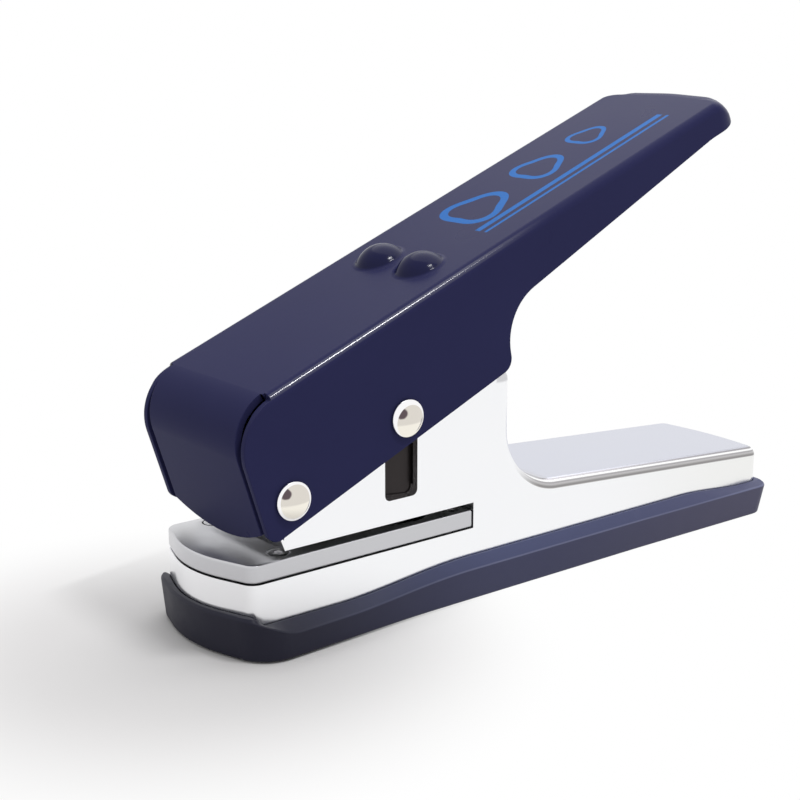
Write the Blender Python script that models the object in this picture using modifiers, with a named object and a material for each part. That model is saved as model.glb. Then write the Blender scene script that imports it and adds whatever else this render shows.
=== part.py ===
"""Guitar pick punch: a hand lever that drives a plectrum-shaped punch through a plastic card.

The frame stands along X with its throat at the low end, the card goes in from the front or the
side, and the punched picks fall through the die into the tray below. Lengths are in metres. The
origin is on the floor, below the fulcrum, in the middle plane.
"""
import math

import bmesh
import bpy
from mathutils import Matrix, Vector, geometry

MM = 0.001

# Fits shared by all pieces
GAP = 0.3 * MM
OVERRUN = 5.0 * MM
HAIR = 0.01 * MM
ROUND_SIDES = 24
ARC_STEP = math.radians(12.0)
SHARP_TURN = math.radians(50.0)
FLAT_TURN = math.radians(0.5)

# Lever drive
FULCRUM_RISE = 10.5 * MM
LEVER_TILT = math.radians(21.56)
DRIVE_SHIFT = 1.37 * MM
DRIVE_LEAD = math.radians(1.13)
PIN_RADIUS = 2.2 * MM
HEAD_RADIUS = 3.8 * MM
HEAD_HEIGHT = 1.5 * MM
CAP_RIM = 0.4 * MM
WASHER_RADIUS = 3.9 * MM
BUSH_WALL = 0.9 * MM

# Frame casting
FRAME_WIDTH = 30.8 * MM
FRAME_WALL = 1.4 * MM
FRAME_BEND = 1.6 * MM
NOSE_REACH = 13.0 * MM
NOSE_SWEEP = 7.0 * MM
NOSE_CORNER = 3.0 * MM
NOSE_BOW = 25.0 * MM
TAIL_REACH = 140.2 * MM
TAIL_SWEEP = 1.6 * MM
TAIL_CORNER = 2.5 * MM
TAIL_BOW = 60.0 * MM
TAIL_HEIGHT = 15.9 * MM
TAIL_SLOPE = math.radians(4.19)
NECK_DROP = 2.6 * MM
NECK_CREST = 1.2 * MM
NECK_WALL = 3.5 * MM
NECK_FILLET = 13.5 * MM
NECK_CORNER = 1.5 * MM
CHEEK_RISE = 1.41 * MM
CHEEK_FRONT = 3.0 * MM
CHEEK_LEVEL_SHARE = 0.75
CHEEK_CORNER = 4.0 * MM
CHEEK_BOW = 20.0 * MM
BOSS_WALL = 1.5 * MM
WEB_THICKNESS = 4.7 * MM
WEB_FOOT = 10.0 * MM
GUIDE_HEIGHT = 6.5 * MM
GUIDE_FLOOR = 1.5 * MM
WINDOW_STEP = 4.7 * MM
WINDOW_FRONT_PLAY = 1.1 * MM
WINDOW_BACK_PLAY = 0.4 * MM
WINDOW_TOP_PLAY = 0.8 * MM
WINDOW_CORNER = 1.3 * MM

# Throat and die
THROAT_TOP = 20.5 * MM
THROAT_GAP = 1.6 * MM
DIE_THICKNESS = 3.6 * MM
DIE_CLEARANCE = 0.3 * MM
DIE_EDGE = 0.4 * MM
CHUTE_WALL = 1.8 * MM
DIE_BOSS_RADIUS = 2.9 * MM
DIE_BOSS_LENGTH = 7.0 * MM
DIE_SCREW_RADIUS = 1.1 * MM
DIE_SCREW_HEAD = 2.1 * MM
DIE_SCREW_LENGTH = 8.0 * MM
DIE_SCREW_INSET = 4.0 * MM
DIE_SCREW_FRONT = 1.0 * MM
DIE_SCREW_BACK = 3.4 * MM

# Pick shape, as shares of its length and of half its width, from the tip to the round end
PICK_LENGTH = 30.0 * MM
PICK_SIDE_LAND = 2.4 * MM
PICK_LAND = 3.9 * MM
PICK_STEPS = 9
PICK_SIDE_SHARES = ((0.0, 0.0), (0.0, 0.25), (0.44, 1.0), (0.66, 1.0))
PICK_END_SHARES = ((0.66, 1.0), (0.86, 1.0), (1.0, 0.62), (1.0, 0.0))

# Punch and its carrier
PUNCH_LIFT = 1.5 * MM
PUNCH_HOLLOW = 0.8 * MM
CARRIER_BRIDGE = 3.2 * MM
CARRIER_EDGE = 0.6 * MM
CARRIER_END = 2.0 * MM
EAR_WIDTH = 9.0 * MM
EAR_THICKNESS = 4.0 * MM
EAR_RADIUS = 4.0 * MM
PUNCH_SCREW_SPREAD = 8.6 * MM
PUNCH_SCREW_LEAD = 0.3 * MM
PUNCH_SCREW_RADIUS = 1.2 * MM
PUNCH_SCREW_HEAD = 2.2 * MM
PUNCH_SCREW_HEAD_HEIGHT = 1.4 * MM
PUNCH_SCREW_LENGTH = 15.0 * MM

# Return springs on their shoulder screws
SPRING_REACH = 5.6 * MM
SPRING_CLEARANCE = 0.8 * MM
SPRING_BACK_PLAY = 0.9 * MM
SPRING_RADIUS = 2.7 * MM
SPRING_WIRE = 0.8 * MM
SPRING_TURNS = 6
SPRING_TURN_POINTS = 9
SHOULDER_RADIUS = 1.3 * MM
SHOULDER_HEAD_RADIUS = 2.6 * MM
SHOULDER_HEAD_HEIGHT = 1.1 * MM
SHOULDER_BITE = 4.0 * MM

# Lever shell, measured along and square to its own top face from the fulcrum
LEVER_SIDE_PLAY = 1.175 * MM
LEVER_TOP_PLAY = 1.03 * MM
LEVER_SHEET = 1.4 * MM
LEVER_BEND = 2.0 * MM
END_BEND = 6.0 * MM
PLATE_FRONT = 7.1 * MM
PLATE_STEP = 1.05 * MM
PLATE_ROUND = 10.0 * MM
PLATE_FOOT_ROUND = 2.5 * MM
PLATE_END = 3.4 * MM
STRIP_RECESS = 0.1 * MM
STRIP_ROUND = 10.0 * MM
NOSE_LEAN_SHARE = 0.07
LEVER_LENGTH = 140.0 * MM
LEVER_SWEEP = 1.3 * MM
LEVER_CORNER = 8.5 * MM
LEVER_BOW = 40.0 * MM
SKIRT_FRONT = 5.65 * MM
SKIRT_BACK = 4.05 * MM
SKIRT_OVERLAP = 0.6 * MM
SKIRT_CORNER = 3.0 * MM
GRIP_STEP = 1.9 * MM
GRIP_ROOT = 7.8 * MM
GRIP_TIP = 14.3 * MM
GRIP_HOLLOW = 11.4 * MM
LIP_LENGTH = 12.7 * MM
LIP_EDGE = 14.2 * MM
LIP_ROUND = 12.0 * MM
CHIN_DEPTH = 7.65 * MM
CHIN_SAG = 4.2 * MM
CHIN_RUN = 4.5 * MM
CHIN_OVERLAP = 1.0 * MM
CHIN_STEPS = 12
SLIT_WIDTH = 1.3 * MM
SLIT_RELIEF = 0.3 * MM
DOME_PLACE = 50.7 * MM
DOME_SPACING = 12.9 * MM
DOME_RADIUS = 5.2 * MM
DOME_HEIGHT = 2.2 * MM
DOME_RINGS = 24
STOP_PAD_OVERLAP = 1.2 * MM
STOP_PAD_WIDTH = 16.0 * MM
STOP_PAD_EDGE = 0.6 * MM

# Tray and sole
TRAY_BOTTOM = 0.3 * MM
TRAY_FLOOR = 1.5 * MM
TRAY_FRONT_MARGIN = 1.2 * MM
TRAY_BACK_MARGIN = 1.8 * MM
TRAY_NOSE_SWEEP = 6.0 * MM
TRAY_TAIL_SWEEP = 1.8 * MM
TRAY_NOSE_MARGIN = 4.2 * MM
TRAY_WAIST_MARGIN = 2.4 * MM
TRAY_TAIL_MARGIN = 3.0 * MM
TRAY_WAIST_FRONT = 30.0 * MM
TRAY_WAIST_BACK = 95.0 * MM
TRAY_NOSE_CORNER = 8.0 * MM
TRAY_TAIL_CORNER = 4.0 * MM
TRAY_NOSE_BOW = 30.0 * MM
TRAY_TAIL_BOW = 60.0 * MM
TRAY_SIDE_BOW = 200.0 * MM
TRAY_FRONT_DRAFT = 0.7 * MM
TRAY_BACK_DRAFT = 1.6 * MM
TRAY_SIDE_DRAFT = 0.3 * MM
TRAY_CORNER_STEPS = 6
TRAY_LEG_STEPS = 6
RIM_FRONT = 9.3 * MM
RIM_NOSE = 7.0 * MM
RIM_SIDE = 9.3 * MM
RIM_TAIL = 7.8 * MM
LEDGE_NOSE = 5.7 * MM
LEDGE_SIDE = 7.1 * MM
RIM_STEP_START = 4.0 * MM
RIM_STEP_END = 7.0 * MM
RIM_RISE_START = 12.0 * MM
RIM_RISE_END = 45.0 * MM
RIM_FALL_START = 112.0 * MM
RIM_FALL_END = 135.0 * MM
RIM_LAND = 0.4 * MM
RIM_OVERLAP = 1.8 * MM
TRAY_FOOT_ROUND = 0.6 * MM
SOLE_THICKNESS = 1.2 * MM
SOLE_INSET = 1.6 * MM

# Colours, roughness and metal share of each finish
FINISHES = {
    "polished_casting": ((0.80, 0.80, 0.84, 1.0), 0.14, 1.0),
    "navy_paint": ((0.035, 0.035, 0.10, 1.0), 0.30, 0.0),
    "chrome": ((0.86, 0.84, 0.80, 1.0), 0.06, 1.0),
    "tool_steel": ((0.16, 0.13, 0.12, 1.0), 0.35, 1.0),
    "bright_steel": ((0.62, 0.62, 0.64, 1.0), 0.25, 1.0),
    "spring_steel": ((0.45, 0.45, 0.47, 1.0), 0.30, 1.0),
    "black_zinc": ((0.05, 0.05, 0.055, 1.0), 0.40, 0.8),
    "nylon": ((0.82, 0.81, 0.77, 1.0), 0.50, 0.0),
    "navy_plastic": ((0.025, 0.027, 0.075, 1.0), 0.50, 0.0),
    "black_rubber": ((0.02, 0.02, 0.02, 1.0), 0.85, 0.0),
}

# Places that follow from the sizes above
FRAME_HALF = FRAME_WIDTH / 2
FRAME_INNER = FRAME_HALF - FRAME_WALL
PICK_WIDTH = FRAME_WIDTH - 2 * PICK_SIDE_LAND
LEVER_INNER = FRAME_HALF + LEVER_SIDE_PLAY
LEVER_HALF = LEVER_INNER + LEVER_SHEET
PIN_BORE = PIN_RADIUS + GAP
BUSH_RADIUS = PIN_BORE + BUSH_WALL
FRONT_SPRING = BUSH_RADIUS + SPRING_CLEARANCE + SPRING_RADIUS + SPRING_WIRE / 2
PICK_TIP = FRONT_SPRING + SPRING_REACH
PICK_BACK = PICK_TIP + PICK_LENGTH
PICK_MIDDLE = (PICK_TIP + PICK_BACK) / 2
REAR_SPRING = PICK_BACK + SPRING_REACH
SPRING_PLACES = (FRONT_SPRING, REAR_SPRING)
THROAT_DEPTH = PICK_BACK + PICK_LAND
CHAMBER_BACK = REAR_SPRING + EAR_RADIUS + SPRING_BACK_PLAY
NECK_BACK = CHAMBER_BACK + NECK_WALL
CHEEK_LEVEL = CHAMBER_BACK * CHEEK_LEVEL_SHARE
FULCRUM_HEIGHT = THROAT_TOP + FULCRUM_RISE
DRIVE_RADIUS = PICK_MIDDLE + DRIVE_SHIFT
REST_ANGLE = DRIVE_LEAD + LEVER_TILT
DRIVE_REST_X = DRIVE_RADIUS * math.cos(REST_ANGLE)
DRIVE_REST_Z = FULCRUM_HEIGHT + DRIVE_RADIUS * math.sin(REST_ANGLE)
DRIVE_PRESSED_X = DRIVE_RADIUS * math.cos(DRIVE_LEAD)
DRIVE_MIDDLE_X = (DRIVE_REST_X + DRIVE_PRESSED_X) / 2
CHIN_BACK = CHIN_OVERLAP - CHIN_RUN
SKIRT_END = NECK_BACK + SKIRT_OVERLAP
GRIP_START = SKIRT_END + GRIP_STEP
STOP_PAD_LENGTH = NECK_WALL + STOP_PAD_OVERLAP
PUNCH_STROKE = DRIVE_RADIUS * (math.sin(REST_ANGLE) - math.sin(DRIVE_LEAD))
TRAY_INSIDE = SOLE_THICKNESS + GAP + TRAY_FLOOR
FRAME_BOTTOM = TRAY_INSIDE + GAP
DIE_TOP = THROAT_TOP - THROAT_GAP
DIE_BOTTOM = DIE_TOP - DIE_THICKNESS
DIE_SEAT = DIE_BOTTOM - GAP
GUIDE_TOP = THROAT_TOP + GUIDE_HEIGHT
WINDOW_SILL = THROAT_TOP + WINDOW_STEP
CORE_FRONT = THROAT_DEPTH + WEB_THICKNESS
CORE_TOP = GUIDE_TOP - GUIDE_FLOOR
PUNCH_FACE = THROAT_TOP + PUNCH_LIFT
CARRIER_FOOT = GUIDE_TOP + PUNCH_STROKE + GAP
CARRIER_HALF = FRAME_INNER - GAP
DRIVE_SLOT_FRONT = DRIVE_REST_X - PIN_BORE
DRIVE_SLOT_BACK = DRIVE_PRESSED_X + PIN_BORE
CARRIER_TOP = DRIVE_REST_Z + PIN_BORE + CARRIER_BRIDGE
CHEEK_TOP = CARRIER_TOP + CHEEK_RISE
NECK_TOP = CHEEK_TOP - NECK_DROP
LEVER_TOP = CHEEK_TOP - FULCRUM_HEIGHT + LEVER_TOP_PLAY + LEVER_SHEET
PLATE_TOP = LEVER_TOP - PLATE_STEP
PUNCH_SCREW_MIDDLE = PICK_MIDDLE + PUNCH_SCREW_LEAD
PUNCH_SCREW_PLACES = (PUNCH_SCREW_MIDDLE - PUNCH_SCREW_SPREAD, PUNCH_SCREW_MIDDLE + PUNCH_SCREW_SPREAD)
TRAY_FRONT = NOSE_REACH + TRAY_FRONT_MARGIN
TRAY_BACK = TAIL_REACH + TRAY_BACK_MARGIN
TRAY_MARGINS = (TRAY_NOSE_MARGIN, TRAY_WAIST_MARGIN, TRAY_TAIL_MARGIN)
TRAY_WIDTHS = tuple(FRAME_WIDTH + 2 * margin for margin in TRAY_MARGINS)
RIM_INNER = TRAY_NOSE_MARGIN + GAP + RIM_OVERLAP
DIE_SCREW_PLACES = tuple(
    (x, side * (FRAME_HALF - DIE_SCREW_INSET))
    for x in (DIE_SCREW_FRONT, THROAT_DEPTH - DIE_SCREW_BACK)
    for side in (-1, 1)
)
BODY = "pick_punch"
CUTTERS = "cutters"

OUTLINE_PLANES = {
    "plan": (Matrix.Identity(4), Vector((0, 0, 1))),
    "side": (Matrix.Rotation(math.pi / 2, 4, "X"), Vector((0, 1, 0))),
    "front": (Matrix.Rotation(math.pi / 2, 4, "Z") @ Matrix.Rotation(math.pi / 2, 4, "X"), Vector((1, 0, 0))),
}
UPRIGHT = Matrix.Identity(4)
CROSSWISE = Matrix.Rotation(math.pi / 2, 4, "X")


# Scene, materials and small helpers
def clear_scene():
    for item in list(bpy.data.objects):
        bpy.data.objects.remove(item, do_unlink=True)
    for group in list(bpy.data.collections):
        bpy.data.collections.remove(group)
    for name in (BODY, CUTTERS):
        group = bpy.data.collections.new(name)
        bpy.context.scene.collection.children.link(group)


def finish_material(name):
    if name in bpy.data.materials:
        return bpy.data.materials[name]
    colour, roughness, metallic = FINISHES[name]
    material = bpy.data.materials.new(name)
    material.use_nodes = True
    shader = material.node_tree.nodes["Principled BSDF"]
    shader.inputs["Base Color"].default_value = colour
    shader.inputs["Roughness"].default_value = roughness
    shader.inputs["Metallic"].default_value = metallic
    material.diffuse_color = colour
    return material


def new_object(name, mesh):
    item = bpy.data.objects.new(name, mesh)
    bpy.data.collections[CUTTERS].objects.link(item)
    item.hide_render = True
    item.display_type = "WIRE"
    return item


def keep(item, finish, carrier=None):
    """Makes an object a piece of the punch, in its own finish."""
    bpy.data.collections[CUTTERS].objects.unlink(item)
    bpy.data.collections[BODY].objects.link(item)
    item.hide_render = False
    item.display_type = "TEXTURED"
    item.data.materials.clear()
    item.data.materials.append(finish_material(finish))
    if carrier and item.parent is None:
        item.parent = carrier
        item.matrix_parent_inverse = carrier.matrix_world.inverted()
    return item


def axis_empty(name, place, tilt=0.0):
    empty = bpy.data.objects.new(name, None)
    bpy.data.collections[BODY].objects.link(empty)
    empty.location = place
    empty.rotation_euler = (0, tilt, 0)
    bpy.context.view_layer.update()
    return empty


def mesh_object(name, shape):
    """A mesh object from a bmesh, with its faces turned out."""
    bmesh.ops.recalc_face_normals(shape, faces=shape.faces)
    mesh = bpy.data.meshes.new(name)
    shape.to_mesh(mesh)
    shape.free()
    return new_object(name, mesh)


def evaluated_mesh(item):
    bpy.context.view_layer.update()
    graph = bpy.context.evaluated_depsgraph_get()
    return bpy.data.meshes.new_from_object(item.evaluated_get(graph), depsgraph=graph)


def settle(item):
    """Replaces an object's mesh by the result of its modifiers, with its slivers closed."""
    mesh = evaluated_mesh(item)
    item.modifiers.clear()
    shape = bmesh.new()
    shape.from_mesh(mesh)
    bmesh.ops.remove_doubles(shape, verts=shape.verts, dist=HAIR / 10)
    bmesh.ops.dissolve_degenerate(shape, edges=shape.edges, dist=HAIR / 100)
    shape.to_mesh(mesh)
    shape.free()
    item.data = mesh
    return item


def boolean(item, other, operation):
    change = item.modifiers.new(other.name, "BOOLEAN")
    change.operation = operation
    change.object = other
    change.solver = "EXACT"
    return settle(item)


def cut(item, *cutters):
    for cutter in cutters:
        boolean(item, cutter, "DIFFERENCE")
    return item


def join(item, *others):
    for other in others:
        boolean(item, other, "UNION")
    return item


def smooth(item, turn=SHARP_TURN):
    item.data.shade_smooth()
    item.data.set_sharp_from_angle(angle=turn)
    return item


def bevel_sharp(item, width, segments=2):
    edge = item.modifiers.new("edges", "BEVEL")
    edge.width = width
    edge.segments = segments
    edge.limit_method = "ANGLE"
    edge.angle_limit = SHARP_TURN
    return item


def bevel_chosen(item, width, segments, share):
    """Rounds each sharp edge by the share of the width that share(middle, along) gives."""
    shape = bmesh.new()
    shape.from_mesh(item.data)
    weights = shape.edges.layers.float.new("bevel_weight_edge")
    for edge in shape.edges:
        ends = [vertex.co for vertex in edge.verts]
        along = (ends[1] - ends[0]).normalized()
        if edge.calc_face_angle(0) > SHARP_TURN:
            edge[weights] = share((ends[0] + ends[1]) / 2, along)
    shape.to_mesh(item.data)
    shape.free()
    edge = item.modifiers.new("bends", "BEVEL")
    edge.width = width
    edge.segments = segments
    edge.limit_method = "WEIGHT"
    return item


def ease(value, start, end):
    """A smooth rise from zero to one between two values."""
    share = min(max((value - start) / (end - start), 0), 1)
    return share * share * (3 - 2 * share)


# Outlines
def rounded(corners, steps=None):
    """A closed outline whose corners, given as (x, y, radius), are rounded by arcs."""
    points = []
    for index, (x, y, radius) in enumerate(corners):
        here = Vector((x, y))
        if radius == 0:
            points.append(here)
            continue
        back = (Vector(corners[index - 1][:2]) - here).normalized()
        ahead = (Vector(corners[(index + 1) % len(corners)][:2]) - here).normalized()
        half = back.angle(ahead) / 2
        centre = here + (back + ahead).normalized() * (radius / math.sin(half))
        reach = radius / math.tan(half)
        start = here + back * reach - centre
        end = here + ahead * reach - centre
        turn = math.atan2(start.x * end.y - start.y * end.x, start.dot(end))
        count = steps or max(1, math.ceil(abs(turn) / ARC_STEP))
        for step in range(count + 1):
            angle = math.atan2(start.y, start.x) + turn * step / count
            points.append(centre + Vector((math.cos(angle), math.sin(angle))) * radius)
    return points


def offset(points, distance):
    """The outline moved outwards by a distance, or inwards by a negative one."""
    area = sum(points[i - 1].cross(points[i]) for i in range(len(points)))
    side = math.copysign(1, area)
    moved = []
    for index, here in enumerate(points):
        back = (here - points[index - 1]).normalized()
        ahead = (points[(index + 1) % len(points)] - here).normalized()
        normals = [Vector((leg.y, -leg.x)) * side for leg in (back, ahead)]
        moved.append(here + (normals[0] + normals[1]) * (distance / (1 + normals[0].dot(normals[1]))))
    return moved


def mirrored(corners):
    """A closed outline from its half above the X axis, whose first and last corners lie on it."""
    return list(corners) + [(x, -y, radius) for x, y, radius in reversed(corners[1:-1])]


def end_outline(front, back, half_width, front_sweep, back_sweep, radii):
    """A long plan outline with slightly bowed ends and round corners."""
    front_bow, front_corner, back_corner, back_bow = radii
    return rounded(mirrored([
        (front, 0, front_bow),
        (front + front_sweep, half_width, front_corner),
        (back - back_sweep, half_width, back_corner),
        (back, 0, back_bow),
    ]))


def pick_outline():
    half = []
    for shares in (PICK_SIDE_SHARES, PICK_END_SHARES):
        knots = [Vector((PICK_TIP + x * PICK_LENGTH, y * PICK_WIDTH / 2)) for x, y in shares]
        half += geometry.interpolate_bezier(*knots, PICK_STEPS)[:-1]
    end = Vector((PICK_BACK, 0))
    below = [Vector((point.x, -point.y)) for point in reversed(half[1:])]
    return [Vector(point[:2]) for point in half] + [end] + below


# Solids
def extruded(name, outline, low, high, plane="side"):
    """A flat outline pushed between two distances along the normal of its plane."""
    turn, normal = OUTLINE_PLANES[plane]
    curve = bpy.data.curves.new(name, "CURVE")
    curve.dimensions = "2D"
    curve.fill_mode = "BOTH"
    curve.extrude = (high - low) / 2
    spline = curve.splines.new("POLY")
    spline.points.add(len(outline) - 1)
    for point, place in zip(spline.points, outline):
        point.co = (place[0], place[1], 0, 1)
    spline.use_cyclic_u = True
    flat = bpy.data.objects.new(name, curve)
    bpy.context.scene.collection.objects.link(flat)
    mesh = evaluated_mesh(flat)
    bpy.data.objects.remove(flat, do_unlink=True)
    bpy.data.curves.remove(curve)
    mesh.transform(Matrix.Translation(normal * (low + high) / 2) @ turn)
    shape = bmesh.new()
    shape.from_mesh(mesh)
    bpy.data.meshes.remove(mesh)
    bmesh.ops.remove_doubles(shape, verts=shape.verts, dist=HAIR / 2)
    bmesh.ops.dissolve_limit(shape, angle_limit=FLAT_TURN, verts=shape.verts, edges=shape.edges)
    return mesh_object(name, shape)


def box(name, low, high):
    shape = bmesh.new()
    bmesh.ops.create_cube(shape, size=1)
    size = Matrix.Diagonal((Vector(high) - Vector(low)).to_4d())
    size[3][3] = 1
    place = Matrix.Translation((Vector(low) + Vector(high)) / 2)
    bmesh.ops.transform(shape, matrix=place @ size, verts=shape.verts)
    return mesh_object(name, shape)


def rod(name, radius, low, high, place, stance=UPRIGHT, sides=ROUND_SIDES):
    """A cylinder between two heights of its own axis, stood at a place."""
    shape = bmesh.new()
    matrix = Matrix.Translation(place) @ stance @ Matrix.Translation((0, 0, (low + high) / 2))
    bmesh.ops.create_cone(
        shape, cap_ends=True, segments=sides, radius1=radius, radius2=radius, depth=high - low, matrix=matrix)
    return mesh_object(name, shape)


def ball(name, radius, place):
    shape = bmesh.new()
    bmesh.ops.create_uvsphere(
        shape, u_segments=DOME_RINGS, v_segments=DOME_RINGS, radius=radius, matrix=Matrix.Translation(place))
    return mesh_object(name, shape)


def turned(name, profile, place, stance=UPRIGHT, closed=False, sides=ROUND_SIDES):
    """A profile of (radius, height) points, from the top down its outer side, turned round its axis."""
    shape = bmesh.new()
    points = [shape.verts.new((radius, 0, height)) for radius, height in profile]
    for index in range(len(points) - 1):
        shape.edges.new((points[index], points[index + 1]))
    if closed:
        shape.edges.new((points[-1], points[0]))
    mesh = bpy.data.meshes.new(name)
    shape.to_mesh(mesh)
    shape.free()
    item = new_object(name, mesh)
    screw = item.modifiers.new("turn", "SCREW")
    screw.steps = sides
    screw.render_steps = sides
    screw.use_merge_vertices = True
    screw.merge_threshold = HAIR / 2
    item.matrix_world = Matrix.Translation(place) @ stance
    settle(item)
    item.data.transform(item.matrix_world)
    item.matrix_world = Matrix.Identity(4)
    return item


def ring(name, inner, outer, low, high, place, stance=UPRIGHT):
    profile = ((inner, high), (outer, high), (outer, low), (inner, low))
    return turned(name, profile, place, stance, closed=True)


def dome_profile(radius, height, low):
    """A shallow dome on a short straight rim, from its top to its edge."""
    sphere = (radius ** 2 + height ** 2) / (2 * height)
    sweep = math.asin(radius / sphere)
    count = max(3, math.ceil(sweep / ARC_STEP))
    points = []
    for step in range(count + 1):
        angle = sweep * step / count
        points.append((sphere * math.sin(angle), low + height - sphere * (1 - math.cos(angle))))
    return points


# Frame
def tail_line(x):
    """Height of the tail's top face."""
    return TAIL_HEIGHT + (TAIL_REACH - x) * math.tan(TAIL_SLOPE)


def frame_plan():
    return end_outline(
        -NOSE_REACH, TAIL_REACH, FRAME_HALF, NOSE_SWEEP, TAIL_SWEEP,
        (NOSE_BOW, NOSE_CORNER, TAIL_CORNER, TAIL_BOW))


def frame_profile():
    """Side outline of the casting: lower jaw, throat, fulcrum boss, cheeks, neck and tail."""
    boss = PIN_BORE + BOSS_WALL
    rest_normal = math.pi + LEVER_TILT
    rise = Vector((CHEEK_FRONT, CHEEK_TOP - FULCRUM_HEIGHT))
    cheek_normal = math.atan2(rise.y, rise.x) + math.acos(boss / rise.length)
    half_turn = (rest_normal - cheek_normal) / 2
    middle = (rest_normal + cheek_normal) / 2
    peak = boss / math.cos(half_turn)
    fall = (THROAT_TOP - FULCRUM_HEIGHT) * math.sin(LEVER_TILT)
    jaw_front = (-boss - fall) / math.cos(LEVER_TILT)
    front = -NOSE_REACH - OVERRUN
    back = TAIL_REACH + OVERRUN
    return rounded([
        (front, FRAME_BOTTOM, 0),
        (front, DIE_SEAT, 0),
        (THROAT_DEPTH, DIE_SEAT, 0),
        (THROAT_DEPTH, THROAT_TOP, 0),
        (jaw_front, THROAT_TOP, 0),
        (peak * math.cos(middle), FULCRUM_HEIGHT + peak * math.sin(middle), boss),
        (CHEEK_FRONT, CHEEK_TOP, CHEEK_CORNER),
        (CHEEK_LEVEL, CHEEK_TOP, CHEEK_BOW),
        (CHAMBER_BACK, NECK_TOP + NECK_CREST, 0),
        (NECK_BACK, NECK_TOP, NECK_CORNER),
        (NECK_BACK, tail_line(NECK_BACK), NECK_FILLET),
        (back, tail_line(back), 0),
        (back, FRAME_BOTTOM, 0),
    ])


def frame_hollow():
    """The space under the die, the neck and the tail, open at the bottom."""
    front = -NOSE_REACH - OVERRUN
    back = TAIL_REACH + OVERRUN
    low = FRAME_BOTTOM - OVERRUN
    core_back = NECK_BACK - FRAME_WALL
    chute_back = THROAT_DEPTH - CHUTE_WALL
    outline = rounded([
        (front, low, 0),
        (front, DIE_TOP, 0),
        (chute_back, DIE_TOP, 0),
        (chute_back, WEB_FOOT, 0),
        (CORE_FRONT, WEB_FOOT, 0),
        (CORE_FRONT, CORE_TOP, 0),
        (core_back, CORE_TOP, 0),
        (core_back, tail_line(core_back) - FRAME_WALL, NECK_FILLET + FRAME_WALL),
        (back, tail_line(back) - FRAME_WALL, 0),
        (back, low, 0),
    ])
    hollow = extruded("frame_hollow", outline, -FRAME_HALF - OVERRUN, FRAME_HALF + OVERRUN)
    inside = extruded("frame_inside", offset(frame_plan(), -FRAME_WALL), low - OVERRUN, NECK_TOP, "plan")
    return boolean(hollow, inside, "INTERSECT")


def pick_prism(name, clearance, low, high):
    return extruded(name, offset(pick_outline(), clearance), low, high, "plan")


def frame_window():
    """The upright slot in both cheeks that the drive pin runs in."""
    front = DRIVE_REST_X - PIN_RADIUS - WINDOW_FRONT_PLAY
    back = DRIVE_PRESSED_X + PIN_RADIUS + WINDOW_BACK_PLAY
    head = DRIVE_REST_Z + PIN_RADIUS + WINDOW_TOP_PLAY
    outline = rounded([
        (front, WINDOW_SILL, WINDOW_CORNER),
        (front, head, WINDOW_CORNER),
        (back, head, WINDOW_CORNER),
        (back, WINDOW_SILL, WINDOW_CORNER),
    ])
    return extruded("window", outline, -FRAME_HALF - OVERRUN, FRAME_HALF + OVERRUN)


def make_frame():
    frame = extruded("frame_housing", frame_profile(), -FRAME_HALF - OVERRUN, FRAME_HALF + OVERRUN)
    plan = extruded("frame_outside", frame_plan(), FRAME_BOTTOM - OVERRUN, CHEEK_TOP + OVERRUN, "plan")
    boolean(frame, plan, "INTERSECT")

    def bend_share(middle, along):
        behind = middle.x > CHAMBER_BACK and middle.z > FRAME_BOTTOM + HAIR
        return int(behind and abs(along.z) < math.cos(FLAT_TURN))

    settle(bevel_chosen(frame, FRAME_BEND, 3, bend_share))
    chamber = box(
        "chamber", (-NOSE_REACH - OVERRUN, -FRAME_INNER, GUIDE_TOP), (CHAMBER_BACK, FRAME_INNER, CHEEK_TOP + OVERRUN))
    cut(frame, frame_hollow(), chamber, pick_prism("guide_bore", GAP, DIE_TOP, GUIDE_TOP + OVERRUN), frame_window())
    crossways = FRAME_HALF + OVERRUN
    cut(frame, rod("fulcrum_bore", PIN_BORE, -crossways, crossways, (0, 0, FULCRUM_HEIGHT), CROSSWISE))
    boss_low = DIE_SEAT - DIE_BOSS_LENGTH
    for index, (x, y) in enumerate(DIE_SCREW_PLACES):
        join(frame, rod(f"die_boss_{index}", DIE_BOSS_RADIUS, boss_low, DIE_SEAT - GAP, (x, y, 0)))
        hole = DIE_SCREW_RADIUS + GAP
        cut(frame, rod(f"die_boss_hole_{index}", hole, boss_low - OVERRUN, DIE_SEAT + OVERRUN, (x, y, 0)))
    for index, x in enumerate(SPRING_PLACES):
        hole = SHOULDER_RADIUS + GAP
        cut(frame, rod(f"shoulder_hole_{index}", hole, GUIDE_TOP - SHOULDER_BITE - GAP, CHEEK_TOP, (x, 0, 0)))
    keep(smooth(frame), "polished_casting")


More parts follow.
